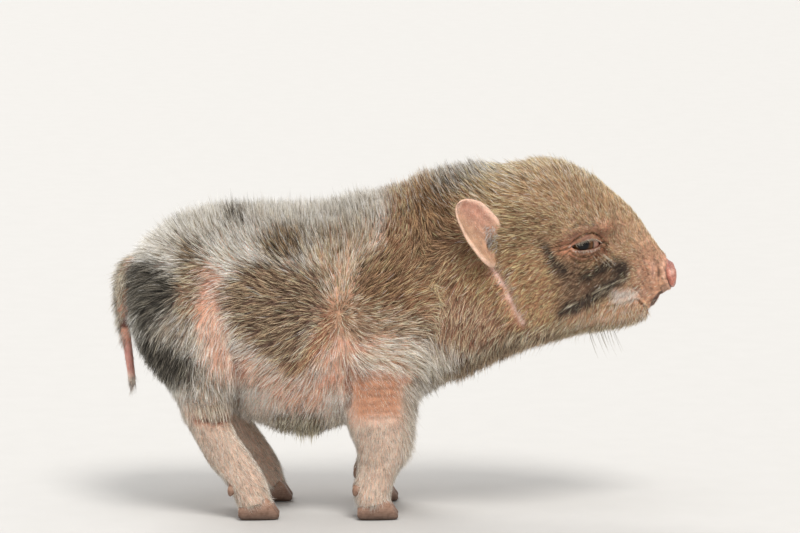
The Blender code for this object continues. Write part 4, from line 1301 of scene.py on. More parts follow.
def eye_material():
    """The ball's own Z axis looks out through the pupil."""
    made, tree, shader = nodes_of("wet_eye")
    where = tree.nodes.new("ShaderNodeTexCoord")
    split = tree.nodes.new("ShaderNodeSeparateXYZ")
    link(tree, where, "Object", split, "Vector")
    flatten = tree.nodes.new("ShaderNodeCombineXYZ")
    link(tree, split, "X", flatten, "X")
    link(tree, split, "Y", flatten, "Y")
    reach = tree.nodes.new("ShaderNodeVectorMath")
    reach.operation = "LENGTH"
    link(tree, flatten, "Vector", reach, 0)
    wobble = node(tree, "ShaderNodeTexNoise", Scale=900.0, Detail=3.0)
    link(tree, where, "Object", wobble, "Vector")
    share = node(tree, "ShaderNodeMapRange")
    share.inputs["From Min"].default_value = 0.0
    share.inputs["From Max"].default_value = EYE_RADIUS
    link(tree, reach, "Value", share, "Value")
    add = tree.nodes.new("ShaderNodeMath")
    add.operation = "MULTIPLY_ADD"
    add.inputs[1].default_value = 0.035
    link(tree, wobble, "Fac", add, 0)
    link(tree, share, "Result", add, 2)
    colours = ramp(
        tree,
        (
            (0.0, tuple(linear(12, 11, 13))),
            (0.335, tuple(linear(14, 13, 15))),
            (0.385, tuple(linear(52, 38, 30))),
            (0.58, tuple(linear(104, 68, 36))),
            (0.655, tuple(linear(34, 26, 22))),
            (0.72, tuple(linear(150, 122, 108))),
            (0.92, tuple(linear(176, 128, 112))),
        ),
    )
    link(tree, add, "Value", colours, "Fac")
    fibres = node(tree, "ShaderNodeTexNoise", Scale=2400.0, Detail=2.0)
    link(tree, where, "Object", fibres, "Vector")
    shade = ramp(tree, ((0.3, (0.7, 0.66, 0.62)), (0.7, (1.1, 1.08, 1.05))))
    link(tree, fibres, "Fac", shade, "Fac")
    one = mix(tree, "MULTIPLY", 0.6)
    link(tree, colours, "Color", one, 6)
    link(tree, shade, "Color", one, 7)
    link(tree, one, 2, shader, "Base Color")
    shader.inputs["Roughness"].default_value = 0.05
    shader.inputs["Specular IOR Level"].default_value = 0.22
    return made


SKIN, COAT, EYE = skin_material(), coat_material(), eye_material()
HORN, DEW_HORN = horn_material("claw_horn", 0.0, 14.0), horn_material("dewclaw_horn", 8.5, 21.0)
skin.data.materials.clear()
skin.data.materials.append(SKIN)
FLESH = ["trunk", "neck", "head", "tail"] + [
    part + "_" + side for part in ("ear", "foreleg", "hindleg") for side in ("right", "left")
]
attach(skin, "root")
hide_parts(*FLESH)

# ---------------------------------------------------------------- eyes
for side, word in ((-1, "right"), (1, "left")):
    bm = bmesh.new()
    bmesh.ops.create_uvsphere(bm, u_segments=72, v_segments=48, radius=EYE_RADIUS)
    for v in bm.verts:  # the cornea stands a little proud
        r = math.hypot(v.co.x, v.co.y)
        if v.co.z > 0:
            v.co.z += 0.00045 * max(0.0, 1 - (r / (0.66 * EYE_RADIUS)) ** 2)
    eye = object_of("eyeball_" + word, bm)
    eye.data.shade_smooth()
    eye.data.materials.append(EYE)
    gaze = Vector((-0.03, side * 0.985, 0.09)).normalized()
    across_gaze = Vector((0, 0, 1)).cross(gaze).normalized()
    up_gaze = gaze.cross(across_gaze)
    turn = Matrix((across_gaze, up_gaze, gaze)).transposed().to_4x4()
    at = Vector((EYE_AT[0], side * abs(EYE_AT[1]), EYE_AT[2])) + Vector((0.0, -side * 0.00025, 0.0))
    eye.matrix_world = Matrix.Translation(at) @ turn
    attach(eye, "root")
    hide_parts("eye_" + word)


# ---------------------------------------------------------------- claws
def claw_ring(share, count=32):
    """One ring of half a hoof, heel to toe: full at the heel, its wall sloping down to a blunt toe."""
    wide = CLAW_WIDTH / 2 * (0.80 + 0.62 * share - 0.42 * share**2 - 0.66 * share**5)
    heights = [5.4, 7.4, 9.0, 10.4, 11.6, 11.0, 8.8, 6.4, 4.2, 2.2]
    top = np.mean([np.interp(share + step, [0.0, 0.10, 0.30, 0.50, 0.62, 0.70, 0.80, 0.88, 0.95, 1.0], heights) for step in (-0.06, -0.03, 0.0, 0.03, 0.06)])
    base = 0.0 if share < 0.94 else (share - 0.94) / 0.06 * 0.9
    if share < 0.08:
        base = (0.08 - share) / 0.08 * 1.4
    ring = []
    for i in range(count):
        across, up = bow(2 * math.pi * i / count, 2.8)
        z = base + (top - base) * (up + 1) / 2
        flare = 1.0 - 0.16 * max(up, 0.0) ** 1.5 - 0.05 * max(-up, 0.0) ** 3
        ring.append((across * wide * flare, z))
    return ring


def wall(bm):
    """Fine growth ridges round the wall of a hoof."""
    for v in bm.verts:
        z = v.co.z / MM
        if z > 0.4:
            v.co.x += 0.00007 * math.sin(z * 3.9)


def dewhorn(x, y, z, lean, outward):
    """A small blunt horn behind the foot, hanging down and back."""
    rings = []
    axis = Vector((-math.sin(lean), outward * 0.16, -math.cos(lean))).normalized()
    aside = axis.cross(Vector((0, 1, 0))).normalized()
    other = axis.cross(aside)
    for i in range(9):
        s_ = i / 8
        r = 1.95 * (1.0 + 0.16 * s_ - 0.90 * s_**3.0)
        centre = Vector((x, y, z)) + axis * (5.4 * s_ - 1.4) + Vector((0.5 * s_ * s_, 0, 0))
        rings.append([centre + aside * (r * math.cos(2 * math.pi * k / 16)) + other * (r * 0.86 * math.sin(2 * math.pi * k / 16)) for k in range(16)])
    return rings


for side, word in ((-1, "right"), (1, "left")):
    for kind, foot in (("foreleg", FORE_FOOT), ("hindleg", HIND_FOOT)):
        shift = 0.0 if kind == "foreleg" or side < 0 else LEFT_HIND_STEP
        for inward, which in ((1, "inner"), (-1, "outer")):
            middle_y = side * (foot[1] - inward * (CLAW_CLEFT / 2 + CLAW_WIDTH * 0.48))
            rings = []
            for i in range(27):
                share = i / 26
                x = foot[0] + shift - CLAW_LENGTH / 2 + CLAW_LENGTH * share + 0.8
                toe_in = side * inward * 0.9 * share**2
                rings.append([(x, middle_y + toe_in + y, z) for y, z in claw_ring(share)])
            bm = bmesh.new()
            loft(bm, rings)
            bmesh.ops.remove_doubles(bm, verts=bm.verts[:], dist=0.00001)
            wall(bm)
            claw = object_of("horn_" + kind + "_" + word + "_" + which, bm)
            claw.data.shade_smooth()
            claw.data.set_sharp_from_angle(angle=math.radians(50))
            claw.data.materials.append(HORN)
            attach(claw, "root")
            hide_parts("claw_" + kind + "_" + word + "_" + which)
            back = 9.6 if kind == "foreleg" else 12.4
            bm = bmesh.new()
            loft(bm, dewhorn(foot[0] + shift - back, side * (foot[1] - inward * 5.4), 15.6, math.radians(24), -side * inward))
            horn = object_of("dewhorn_" + kind + "_" + word + "_" + which, bm)
            horn.data.shade_smooth()
            horn.data.materials.append(DEW_HORN)
            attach(horn, "root")
            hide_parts("dewclaw_" + kind + "_" + word + "_" + which)

# ---------------------------------------------------------------- the lie of the coat
# Where the hair points at a place of the side, all in px and py: place, then direction.
LIE = (
    # back, from rump to nape
    (135, 262, -0.8, 0.2), (150, 236, -0.75, -0.5), (180, 216, -0.5, -0.85), (215, 207, -0.35, -0.95),
    (260, 205, -0.25, -1.0), (305, 205, -0.2, -1.0), (350, 196, -0.25, -1.0), (395, 186, -0.35, -0.95),
    (430, 172, -0.5, -0.85), (470, 162, -0.7, -0.6), (510, 161, -0.85, -0.4),
    # rump and thigh
    (140, 300, -0.6, 0.8), (150, 345, -0.35, 0.95), (165, 270, -0.85, 0.3), (172, 300, -0.8, 0.55),
    (185, 250, -0.7, -0.35), (200, 228, -0.5, -0.8), (190, 290, -0.7, 0.6), (185, 330, -0.4, 0.9),
    (175, 365, -0.2, 1.0), (215, 290, -0.65, 0.6), (212, 330, -0.4, 0.9), (215, 370, 0.05, 1.0), (215, 400, 0.2, 1.0),
    (190, 395, 0.1, 1.0), (235, 400, -0.1, 1.0), (215, 440, 0.45, 0.9), (240, 470, 0.5, 0.85), (265, 500, 0.4, 0.9),
    # flank, round the whorl over the elbow
    (240, 240, -0.7, -0.75), (290, 235, -0.35, -0.95), (340, 240, 0.0, -1.0), (240, 280, -0.95, -0.35),
    (285, 275, -0.85, -0.6), (325, 280, -0.5, -0.9), (255, 320, -1.0, 0.1), (300, 312, -1.0, 0.0), (326, 308, -1.0, 0.0),
    (260, 360, -0.8, 0.6), (300, 350, -0.75, 0.7), (325, 330, -0.6, 0.8), (250, 395, -0.5, 0.85), (300, 395, -0.5, 0.85),
    (335, 365, -0.25, 0.95), (290, 425, -0.15, 1.0), (340, 415, -0.1, 1.0), (342, 290, 0.05, -1.0),
    # shoulder and upper foreleg
    (360, 285, 0.6, -0.8), (358, 310, 1.0, 0.0), (355, 330, 0.8, 0.6), (340, 346, -0.55, 0.8), (330, 362, -0.6, 0.8), (385, 260, 0.5, -0.85),
    (385, 300, 0.8, -0.5), (380, 330, 0.95, 0.15), (354, 355, 0.95, -0.25), (376, 347, 1.0, -0.05), (398, 350, 0.95, 0.25), (420, 240, 0.1, -1.0), (415, 300, 0.6, -0.3),
    (416, 360, 0.7, 0.7), (364, 378, 0.6, 0.7), (392, 378, 0.6, 0.8), (365, 400, 0.1, 1.0), (400, 410, 0.15, 1.0), (375, 450, 0.0, 1.0), (375, 500, 0.05, 1.0),
    # neck and throat
    (450, 210, -0.55, -0.4), (450, 260, -0.4, 0.4), (450, 310, -0.3, 0.8), (445, 350, -0.1, 1.0), (440, 385, 0.1, 1.0),
    (480, 280, -0.6, 0.7), (490, 330, -0.45, 0.85), (500, 355, -0.3, 0.95), (540, 345, -0.45, 0.85), (600, 333, -0.3, 0.9),
    # head
    (520, 190, -0.9, -0.2), (560, 185, -0.85, -0.35), (600, 205, -0.8, -0.55), (530, 230, -0.95, 0.05),
    (540, 270, -0.85, 0.5), (520, 300, -0.75, 0.65), (570, 220, -0.8, -0.5), (620, 230, -0.7, -0.6), (650, 250, -0.7, -0.5),
    (600, 275, -0.9, 0.35), (585, 300, -0.85, 0.5), (560, 320, -0.85, 0.5), (630, 280, -0.8, 0.3), (620, 310, -0.7, 0.6),
    (640, 305, -0.5, 0.8), (645, 320, -0.2, 0.95),
    # tail
    (124, 270, -0.9, 0.5), (124, 300, -0.5, 0.85), (130, 360, -0.1, 1.0),
)


def lie_of(p):
    """Unit directions of the coat, before they are laid onto the skin."""
    f = outline(p)
    table = np.array(LIE)
    table[:, 2:] = unit(table[:, 2:])
    total = np.zeros((len(p), 2))
    for cx, cy, dx, dy in table:
        d2 = (f[:, 0] - cx) ** 2 + (f[:, 1] - cy) ** 2
        w = np.exp(-d2 / (2 * 17.0**2)) + 1e-4 / (1 + d2 / 900.0)
        total += w[:, None] * np.array([dx, dy])
    total = unit(total)
    return np.stack([total[:, 0], np.zeros(len(p)), -total[:, 1]], 1)


# ---------------------------------------------------------------- roots on the skin
mesh = skin.data
tri = np.zeros(len(mesh.polygons) * 3, np.int32)
mesh.polygons.foreach_get("vertices", tri)
tri = tri.reshape(-1, 3)
corner = co[tri]
area = 0.5 * np.linalg.norm(np.cross(corner[:, 1] - corner[:, 0], corner[:, 2] - corner[:, 0]), axis=1) / MM**2
mid = corner.mean(1)
mid_n = unit(n[tri].mean(1))
mid_ear = ear_part[tri].max(1)
mid_tail = tail_part[tri].max(1)


def zones(p, nrm, ear, tail):
    """What grows where. Every number is per point: density per square millimetre, length and width in millimetres,
    lift at the root and at the tip in degrees, how far tips draw together, curl, and the share of short underhair."""
    f = outline(p)
    x, y, z = p[:, 0] / MM, np.abs(p[:, 1]) / MM, p[:, 2] / MM
    ny = np.abs(nrm[:, 1])
    up, down = smooth(0.25, 0.8, nrm[:, 2]), smooth(0.2, 0.75, -nrm[:, 2])
    fore, hind = leg_share(p, 9.0)
    leg = np.maximum(fore, hind)
    keys = ("dense", "long", "wide", "root", "tip", "clump", "curl", "under")
    out = dict(zip(keys, (np.full(len(p), v) for v in (2.7, 8.0, 0.28, 30.0, 7.0, 0.50, 0.08, 0.44))))

    def lay(amount, **values):
        w = np.clip(amount, 0, 1)
        for key, value in values.items():
            out[key] = out[key] * (1 - w) + value * w

    lay(up * smooth(62, 40, x), dense=3.1, long=8.8, root=60.0, tip=36.0, clump=0.5, wide=0.29, under=0.35)
    lay(up * smooth(-16, -4, x) * smooth(14, 6, x), long=6.6, root=54.0, tip=28.0)
    lay(smooth(0.3, 0.8, -nrm[:, 0]) * (x < -95), long=8.0, tip=14.0)
    lay(down * smooth(90, 70, z) * (x < 30), dense=2.5, long=4.6, root=42.0, tip=24.0, clump=0.6)
    fringe = smooth(396, 412, f[:, 1]) * smooth(-62, -56, x) * smooth(-30, -36, x) * (1 - leg) * smooth(32, 38, z)
    lay(fringe, long=5.4, root=32.0, tip=14.0, clump=0.6, dense=2.5)
    pinkish = smooth(-9, 7, inside(f, named("pink")))
    lay(pinkish, dense=2.0, long=6.8, wide=0.22, root=28.0, tip=8.0, clump=0.4)
    lay(smooth(-6, 5, inside(f, named("chest"))), dense=2.6, long=9.5, root=34.0, tip=8.0, clump=0.55)
    whorl = np.exp(-(((f[:, 0] - 342) / 12.0) ** 2) - ((f[:, 1] - 310) / 10.0) ** 2)
    near_whorl = np.exp(-(((f[:, 0] - 342) / 28.0) ** 2) - ((f[:, 1] - 310) / 22.0) ** 2)
    lay(near_whorl, long=6.0, clump=0.2, curl=0.20, dense=3.2)
    lay(whorl * 1.3, dense=4.6, long=4.6, root=58.0, tip=40.0, clump=0.05, curl=0.3)
    neck = smooth(20, 46, x) * (1 - up) * (1 - down)
    lay(neck, dense=3.4, long=5.6, wide=0.26, root=34.0, tip=10.0, clump=0.45, curl=0.18)
    lay(down * smooth(14, 40, x), dense=2.3, long=6.8, root=50.0, tip=27.0, clump=0.55, curl=0.1)
    head = smooth(56, 72, x)
    lay(head, dense=5.0, long=4.0, wide=0.21, root=38.0, tip=12.0, clump=0.32, curl=0.30, under=0.45)
    lay(head * up, dense=4.2, long=5.2, root=52.0, tip=26.0, curl=0.36)
    lay(smooth(60, 76, x) * smooth(100, 84, x) * smooth(0.75, 0.95, nrm[:, 2]), long=6.2)
    lay(head * down, dense=2.3, long=6.0, root=42.0, tip=20.0, curl=0.1)
    lay(smooth(96, 114, x) * (1 - down), dense=4.6, long=3.4, wide=0.18, root=32.0, tip=10.0, curl=0.16, clump=0.35)
    lay(smooth(115, 128, x) * smooth(104, 108, z) * (1 - 0.5 * up), dense=2.1, long=2.0, wide=0.115, root=26.0, tip=9.0, clump=0.2)
    chin = smooth(302, 310, f[:, 1]) * smooth(560, 580, f[:, 0]) * (x < 127)
    lay(chin, dense=3.0, long=4.6, wide=0.20, root=38.0, tip=18.0, clump=0.3, curl=0.08)
    qq = fold(p)
    ea, eb, eh = eye_frame(qq)
    near = (qq[:, 1] < -0.006) * (eh > 0)
    bag = np.hypot((ea - 0.3) / 12.0, (eb - 0.4) / 8.0)
    lay(smooth(-6, 4, inside(f, named("sootlow"))), long=4.4, curl=0.10, clump=0.28, wide=0.18, tip=9.0)
    lay(near * smooth(1.25, 0.85, bag), dense=4.2, long=2.0, wide=0.14, root=24.0, tip=8.0, curl=0.14)
    lay(near * smooth(1.6, 0.8, np.abs(eb - lids(ea)[0] - 1.4)) * smooth(-8.5, -6.5, ea) * smooth(8.5, 6.5, ea), dense=0.9, long=1.1)
    lay(near * smooth(-1.5, -0.7, gap_between_lids(ea, eb)), dense=0.0)
    lay(leg, dense=4.6, long=3.9, wide=0.185, root=22.0, tip=7.0, clump=0.3, curl=0.10)
    lay(leg * smooth(26, 14, z), long=4.8, dense=3.8, root=20.0, tip=7.0)
    bare = smooth(-12, 5, inside(f, named("bare"))) * smooth(9, 14, y) * (x < 15) * smooth(0.2, 0.5, ny)
    lay(bare, dense=2.5, long=3.2, wide=0.14, root=18.0, tip=5.0, clump=0.0)
    front_fringe = smooth(398, 406, f[:, 0]) * smooth(372, 384, f[:, 1]) * smooth(470, 440, f[:, 1]) * (x < 24)
    lay(front_fringe, dense=3.4, long=7.2, root=36.0, tip=18.0, clump=0.5)
    hockhair = smooth(398, 406, f[:, 1]) * smooth(420, 414, f[:, 1]) * smooth(-64, -70, x)
    lay(hockhair, long=5.0, dense=3.4, root=26.0, tip=10.0)
    d, t = along(f, HOCK_FOLD)
    lay(np.exp(-(((d - 1.0) / 3.0) ** 2)) * (x < -70) * (z < 70) * ny, dense=0.9, long=2.4, root=20.0)
    lay((z < 12) * (y > 7) * smooth(-0.5, -0.8, nrm[:, 2]), dense=0.0)
    lay((z < 6.0) * 1.0, dense=0.0)
    # the snout's disc, the hollow of the mouth and the lips' edges are bare
    edge_here = ahead_of_edge(p)
    lay(smooth(-3.4, -1.6, edge_here) * (x > 126), long=1.5, wide=0.11)
    lay(smooth(-1.0, -0.3, edge_here) * (x > 126), dense=0.0)
    d, t = along(f, MOUTH_OPENING)
    lay((d < 3.5) * (x > 119), dense=2.2, long=1.6, wide=0.10, root=26.0, tip=10.0)
    d, t = along(f, JOWL_FOLD)
    lay(np.exp(-((d / 7.0) ** 2)) * (y > 15), long=3.0, root=24.0, tip=6.0, clump=0.1)
    lay(np.exp(-((d / 2.4) ** 2)) * (y > 15), dense=0.5, long=2.0, wide=0.14)
    # ears
    s = np.stack([np.ones(len(p)), np.where(p[:, 1] > 0, -1.0, 1.0), np.ones(len(p))], 1)
    facing = (nrm * s) @ ear_out
    ee = qq / MM - np.array(EAR_ROOT)
    el, es = ee @ ear_face, ee @ ear_across
    reach = np.interp(el, [r[0] for r in EAR], [r[2] for r in EAR])
    centre = np.interp(el, [r[0] for r in EAR], [r[1] for r in EAR])
    rim = smooth(0.82, 0.97, np.abs(es - centre) / np.maximum(reach, 1))
    lay(ear * (facing <= 0.1), dense=4.6, long=3.2, wide=0.18, root=20.0, tip=6.0, clump=0.3, curl=0.08)
    lay(ear * (facing > 0.1), dense=2.3, long=2.9, wide=0.12, root=22.0, tip=8.0, clump=0.1, curl=0.14)
    lay(ear * rim, dense=3.2, long=2.0, wide=0.11, root=30.0, tip=16.0)
    canal = np.exp(-(((el - 1.0) / 3.0) ** 2) - ((es - 3.2) / 4.0) ** 2)
    lay(ear * (facing > 0.1) * smooth(0.2, 0.5, canal), dense=4.4, long=5.4, wide=0.15, root=50.0, tip=30.0, clump=0.3, curl=0.25)
    # tail
    lay(tail, dense=2.8, long=5.0, wide=0.24, root=26.0, tip=8.0, clump=0.35)
    lay(tail * smooth(0.2, 0.7, -nrm[:, 0]) * smooth(80, 92, z), long=6.0, dense=3.0, tip=16.0)
    lay(tail * smooth(102, 94, z) * smooth(0.3, -0.4, -nrm[:, 0]), dense=2.0, long=2.2, wide=0.13)
    lay(tail * smooth(86, 80, z), dense=3.0, long=2.4, wide=0.12, root=22.0, tip=8.0, clump=0.2)
    lay(tail * smooth(71, 66, z), dense=4.5, long=7.4, wide=0.16, root=8.0, tip=0.0, clump=0.45, curl=0.03)
    return out


kinds = zones(mid, mid_n, mid_ear, mid_tail)
tufts_share = 0.795 * HAIR_SHARE
expected = kinds["dense"] * area * tufts_share
count = np.floor(expected + RNG.random(len(expected))).astype(int)
owner = np.repeat(np.arange(len(tri)), count)
u, v = RNG.random(len(owner)), RNG.random(len(owner))
flip = u + v > 1
u[flip], v[flip] = 1 - u[flip], 1 - v[flip]
w = np.stack([1 - u - v, u, v], 1)[:, :, None]
root = (co[tri[owner]] * w).sum(1)
root_n = unit((n[tri[owner]] * w).sum(1))
root_ear, root_tail = mid_ear[owner], mid_tail[owner]
grow = zones(root, root_n, root_ear, root_tail)
keep = grow["dense"] > 0.02
root, root_n, root_ear, root_tail = root[keep], root_n[keep], root_ear[keep], root_tail[keep]
grow = {k: g[keep] for k, g in grow.items()}
total = len(root)
under = RNG.random(total) < grow["under"]
stray = (RNG.random(total) < 0.035) & ~under & (root_ear < 0.5) & (root[:, 0] < 0.100)

# ---------------------------------------------------------------- how each lock lies
comb = lie_of(root)
mirror = np.stack([np.ones(total), np.where(root[:, 1] > 0, -1.0, 1.0), np.ones(total)], 1)
comb = np.where(root_ear[:, None] > 0.5, ear_face[None] * mirror, comb)
# slow wandering of the lie, then what each lock does of its own
swing = 0.26 * noise(root, 12 * MM, 11) + 0.15 * noise(root, 4 * MM, 12)
clumps = max(total // 9, 8)
pick = RNG.choice(np.nonzero(~under)[0], clumps, replace=False)
finder = KDTree(clumps)
for i, k in enumerate(pick):
    finder.insert(root[k], i)
finder.balance()
leader = np.array([finder.find(p)[1] for p in root])
clump_turn = RNG.normal(0, 0.13, clumps)[leader]
clump_long = RNG.normal(1.0, 0.10, clumps)[leader]
clump_tone = RNG.normal(0.0, 1.0, clumps)[leader]
own_turn = RNG.normal(0, 1.0, total) * (0.10 + 0.5 * grow["curl"])
turn = (swing + clump_turn + own_turn)[:, None]
sideways = unit(np.cross(root_n, comb))
flat_comb = comb - root_n * np.minimum((comb * root_n).sum(1), 0.0)[:, None]
flat_comb = flat_comb * np.cos(turn) + sideways * np.sin(turn)
tangent = flat_comb - root_n * (flat_comb * root_n).sum(1)[:, None]
lean = np.linalg.norm(tangent, axis=1)
loose = RNG.normal(0, 0.25, (total, 3))
tangent = tangent + (1 - np.clip(lean, 0, 1))[:, None] * (loose - root_n * (loose * root_n).sum(1)[:, None]) * 0.6
lean = np.clip(np.linalg.norm(tangent, axis=1), 0.25, 1.0)
tangent = unit(tangent)
root_lift = np.radians(grow["root"] + RNG.normal(0, 5, total) + 8.0 * stray)
tip_lift = np.radians(grow["tip"] + RNG.normal(0, 4, total) + 14.0 * stray)
# where the lie runs straight out of the skin, the hair stands up
stand = np.radians(80) * (1 - lean)
root_lift = np.clip(root_lift + stand * 0.6, 0.1, 1.5)
tip_lift = np.clip(tip_lift + stand, 0.03, 1.5)
d0 = tangent * np.cos(root_lift)[:, None] + root_n * np.sin(root_lift)[:, None]
d1 = tangent * np.cos(tip_lift)[:, None] + root_n * np.sin(tip_lift)[:, None]
d1 = unit(d1 + sideways * (RNG.normal(0, 1.0, total) * grow["curl"])[:, None])
long = grow["long"] * clump_long * RNG.uniform(0.72, 1.16, total) * np.where(under, 0.62, 1.0) * np.where(stray, 1.35, 1.0) * MM
wide = grow["wide"] * RNG.uniform(0.72, 1.2, total) * np.where(under, 0.9, 1.0) * np.where(stray, 0.8, 1.0) * MM
tip = root + long[:, None] * (0.5 * (d0 + d1))
chief = pick[leader]
drawn = (tip[chief] + (root - root[chief]) * 0.35 - tip) * (grow["clump"] * RNG.uniform(0.4, 1.0, total) * ~stray)[:, None]
reach = np.linalg.norm(drawn, axis=1, keepdims=True)
drawn = drawn * np.minimum(1.0, 0.40 * long[:, None] / np.maximum(reach, 1e-9))

# ---------------------------------------------------------------- colours of the locks
spread = np.where(root[:, 0] > 0.078, 2.6, 3.6)[:, None]
seen = root + (tip - root) * np.where(root[:, 0] > 0.078, 0.4, 0.6)[:, None]
_, at_root, at_tip = blend_looks(seen, RNG.normal(0, 1.0, (total, 2)) * spread)
root_flat = outline(root)


def turn_to(chosen, root_colour, tip_colour):
    global at_root, at_tip
    at_root = np.where(chosen[:, None], linear(*root_colour), at_root)
    at_tip = np.where(chosen[:, None], linear(*tip_colour), at_tip)


dice = RNG.random(total)
nape = smooth(-12, 8, inside(root_flat, ((434, 176), (462, 160), (496, 156), (502, 172), (486, 184), (462, 194), (440, 200))))
turn_to(dice < 0.55 * nape, (206, 196, 178), (248, 244, 234))
turn_to(dice > 1 - 0.30 * nape, (50, 44, 38), (92, 84, 72))
sooty = np.max([smooth(-4, 3, inside(root_flat, corners)) for look, _, corners in PATCHES if look == "soot"], axis=0)
turn_to((dice < 0.14 * sooty) & (nape < 0.1), (106, 88, 68), (212, 190, 158))
turn_to((dice > 1 - 0.45 * sooty) & (nape < 0.1), (20, 16, 14), (52, 42, 34))
ridge = smooth(0.45, 0.9, root_n[:, 2]) * (root[:, 2] > 0.120) * (root[:, 0] < 0.100)
turn_to(dice < 0.20 * ridge, (206, 194, 174), (248, 242, 230))
turn_to((dice > 0.93) & (ridge > 0.5), (58, 50, 42), (110, 98, 82))
turn_to(root_tail > 0.5, (158, 144, 120), (230, 220, 200))
turn_to((root_tail > 0.5) & (root[:, 2] < 0.090), (204, 178, 164), (246, 236, 224))
turn_to(root_ear > 0.5, (200, 158, 130), (240, 218, 196))
turn_to((root_ear > 0.5) & (grow["long"] > 3.8), (176, 168, 158), (240, 238, 234))
behind = (root_ear > 0.5) & ((root_n * mirror) @ ear_out <= 0.1)
turn_to(behind, (150, 116, 84), (216, 186, 150))
on_crown = smooth(0.050, 0.070, root[:, 0]) * smooth(0.125, 0.110, root[:, 0])
on_legs = np.maximum(*leg_share(root, 4.0))
dim = smooth(0.22, 0.08, at_root.mean(1))
whitish = smooth(0.45, 0.75, at_root.mean(1))[:, None]
shade = np.exp(-0.14 + 0.28 * clump_tone * (1 - 0.15 * on_legs) + RNG.normal(0, 1, total) * (0.54 + 0.04 * on_crown - 0.04 * on_legs + 0.12 * dim))[:, None]
fair = (RNG.random(total) < 0.23 + 0.05 * on_crown + 0.03 * dim)[:, None]
deep = (RNG.random(total) < (0.215 + 0.03 * on_crown + 0.04 * dim) * (1 - 0.35 * on_legs) * (1 - 0.35 * whitish[:, 0]))[:, None]
shade = shade ** (1 - 0.3 * whitish)
at_root = at_root * shade
at_tip = np.where(fair, np.minimum(at_tip * 1.7 + 0.05, 0.92), np.where(deep, at_tip * (0.45 + 0.2 * whitish), at_tip * shade))
# Roots are darkened below their look: partly the hair's own darker base, partly painted shade deep in the coat between
# the locks.
at_root = np.where(fair, at_root * 1.15, at_root * (0.78 + 0.13 * whitish))
at_tip = np.where(under[:, None], at_tip * 0.75 + at_root * 0.15, at_tip)
at_root, at_tip = np.clip(at_root, 0.004, 0.92), np.clip(at_tip, 0.004, 0.92)

# ---------------------------------------------------------------- lashes, whiskers and other single hairs
skin_bm = bmesh.new()
skin_bm.from_mesh(skin.data)
skin_tree = BVHTree.FromBMesh(skin_bm)
skin_bm.free()
singles = []


def sprout(spots, start, end, length, width, root_colour, tip_colour, spread=0.12, sides=(-1, 1)):
    """Single hairs at places given in px and py, with their first and last directions on the right side."""
    for side in sides:
        for px, py in spots:
            ray = Vector(place(px, py, 200.0))
            down_the_view = Vector((0, C8, -S8))
            if side > 0:
                ray.y, down_the_view.y = -ray.y, -down_the_view.y
            at, normal, _, _ = skin_tree.ray_cast(ray, down_the_view)
            if at is None:
                continue
            first = unit(np.array(start, float) + RNG.normal(0, spread, 3))
            last = unit(np.array(end, float) + RNG.normal(0, spread, 3))
            if side > 0:
                first[1], last[1] = -first[1], -last[1]
            tint = math.exp(RNG.normal(0, 0.18))
            singles.append(
                (np.array(at), np.array(normal), first, last, length * RNG.uniform(0.7, 1.15) * MM, width * RNG.uniform(0.8, 1.2) * MM,
                 np.clip(linear(*root_colour) * tint, 0, 0.9), np.clip(linear(*tip_colour) * tint, 0, 0.9))
            )


def between_ends(line, count, wobble=0.0):
    line = np.array(line, float)
    lengths = np.concatenate([[0], np.cumsum(np.linalg.norm(np.diff(line, axis=0), axis=1))])
    at = np.linspace(0, lengths[-1], count)
    spots = np.stack([np.interp(at, lengths, line[:, 0]), np.interp(at, lengths, line[:, 1])], 1)
    return spots + RNG.normal(0, 1, spots.shape) * wobble


def scattered(corners, count):
    corners = np.array(corners, float)
    low, high = corners.min(0), corners.max(0)
    spots = low + RNG.random((count * 8, 2)) * (high - low)
    return spots[inside(spots, corners) > 0][:count]


PALE, PALER = ((186, 170, 150), (226, 214, 196)), ((214, 204, 190), (246, 240, 230))
upper = np.array(LID_UPPER)[2:-1] + (0.0, -1.0)
lower = np.array(LID_LOWER)[1:-1] + (0.0, 1.1)
sprout(between_ends(upper, 30, 0.25), (0.25, -0.85, -0.05), (0.45, -0.55, -0.70), 3.6, 0.15, *PALE)
sprout(between_ends(((565.5, 247.5), (573, 245.5)), 12, 0.5), (-0.2, -0.85, 0.1), (-0.5, -0.6, 0.2), 2.2, 0.16, *PALER)
sprout(between_ends(lower, 24, 0.25), (0.15, -0.85, -0.35), (0.10, -0.45, -0.85), 1.9, 0.16, *PALER)
sprout(scattered(((588, 252), (604, 250), (606, 260), (592, 262)), 14), (0.5, -0.5, -0.5), (0.75, -0.25, -0.6), 6.0, 0.15, *PALE)
sprout(between_ends(((631, 275), (622, 278), (607, 284.5), (596, 289), (585, 295), (572, 303)), 60, 0.8), (-0.82, -0.55, -0.30), (-0.88, -0.22, -0.44), 9.0, 0.26, (176, 154, 124), (248, 236, 212), 0.04)
sprout(between_ends(((612, 286), (600, 291.5), (590, 298), (582, 304)), 34, 0.8), (-0.80, -0.55, -0.35), (-0.84, -0.22, -0.50), 8.0, 0.24, (166, 144, 116), (244, 230, 204), 0.04)
sprout(scattered(((560, 274), (590, 278), (604, 286), (580, 298), (562, 302)), 60), (-0.75, -0.55, -0.35), (-0.8, -0.20, -0.55), 5.0, 0.20, (140, 114, 88), (228, 206, 174), 0.06)
sprout(scattered(((520, 326), (560, 316), (604, 312), (606, 326), (560, 334), (524, 344)), 110), (-0.70, -0.55, -0.45), (-0.82, -0.20, -0.50), 7.0, 0.20, (176, 160, 126), (240, 230, 202), 0.08)
sprout(scattered(((620, 270), (655, 268), (655, 300), (625, 296)), 60), (-0.3, -0.8, 0.0), (-0.6, -0.6, -0.4), 4.2, 0.11, *PALE)
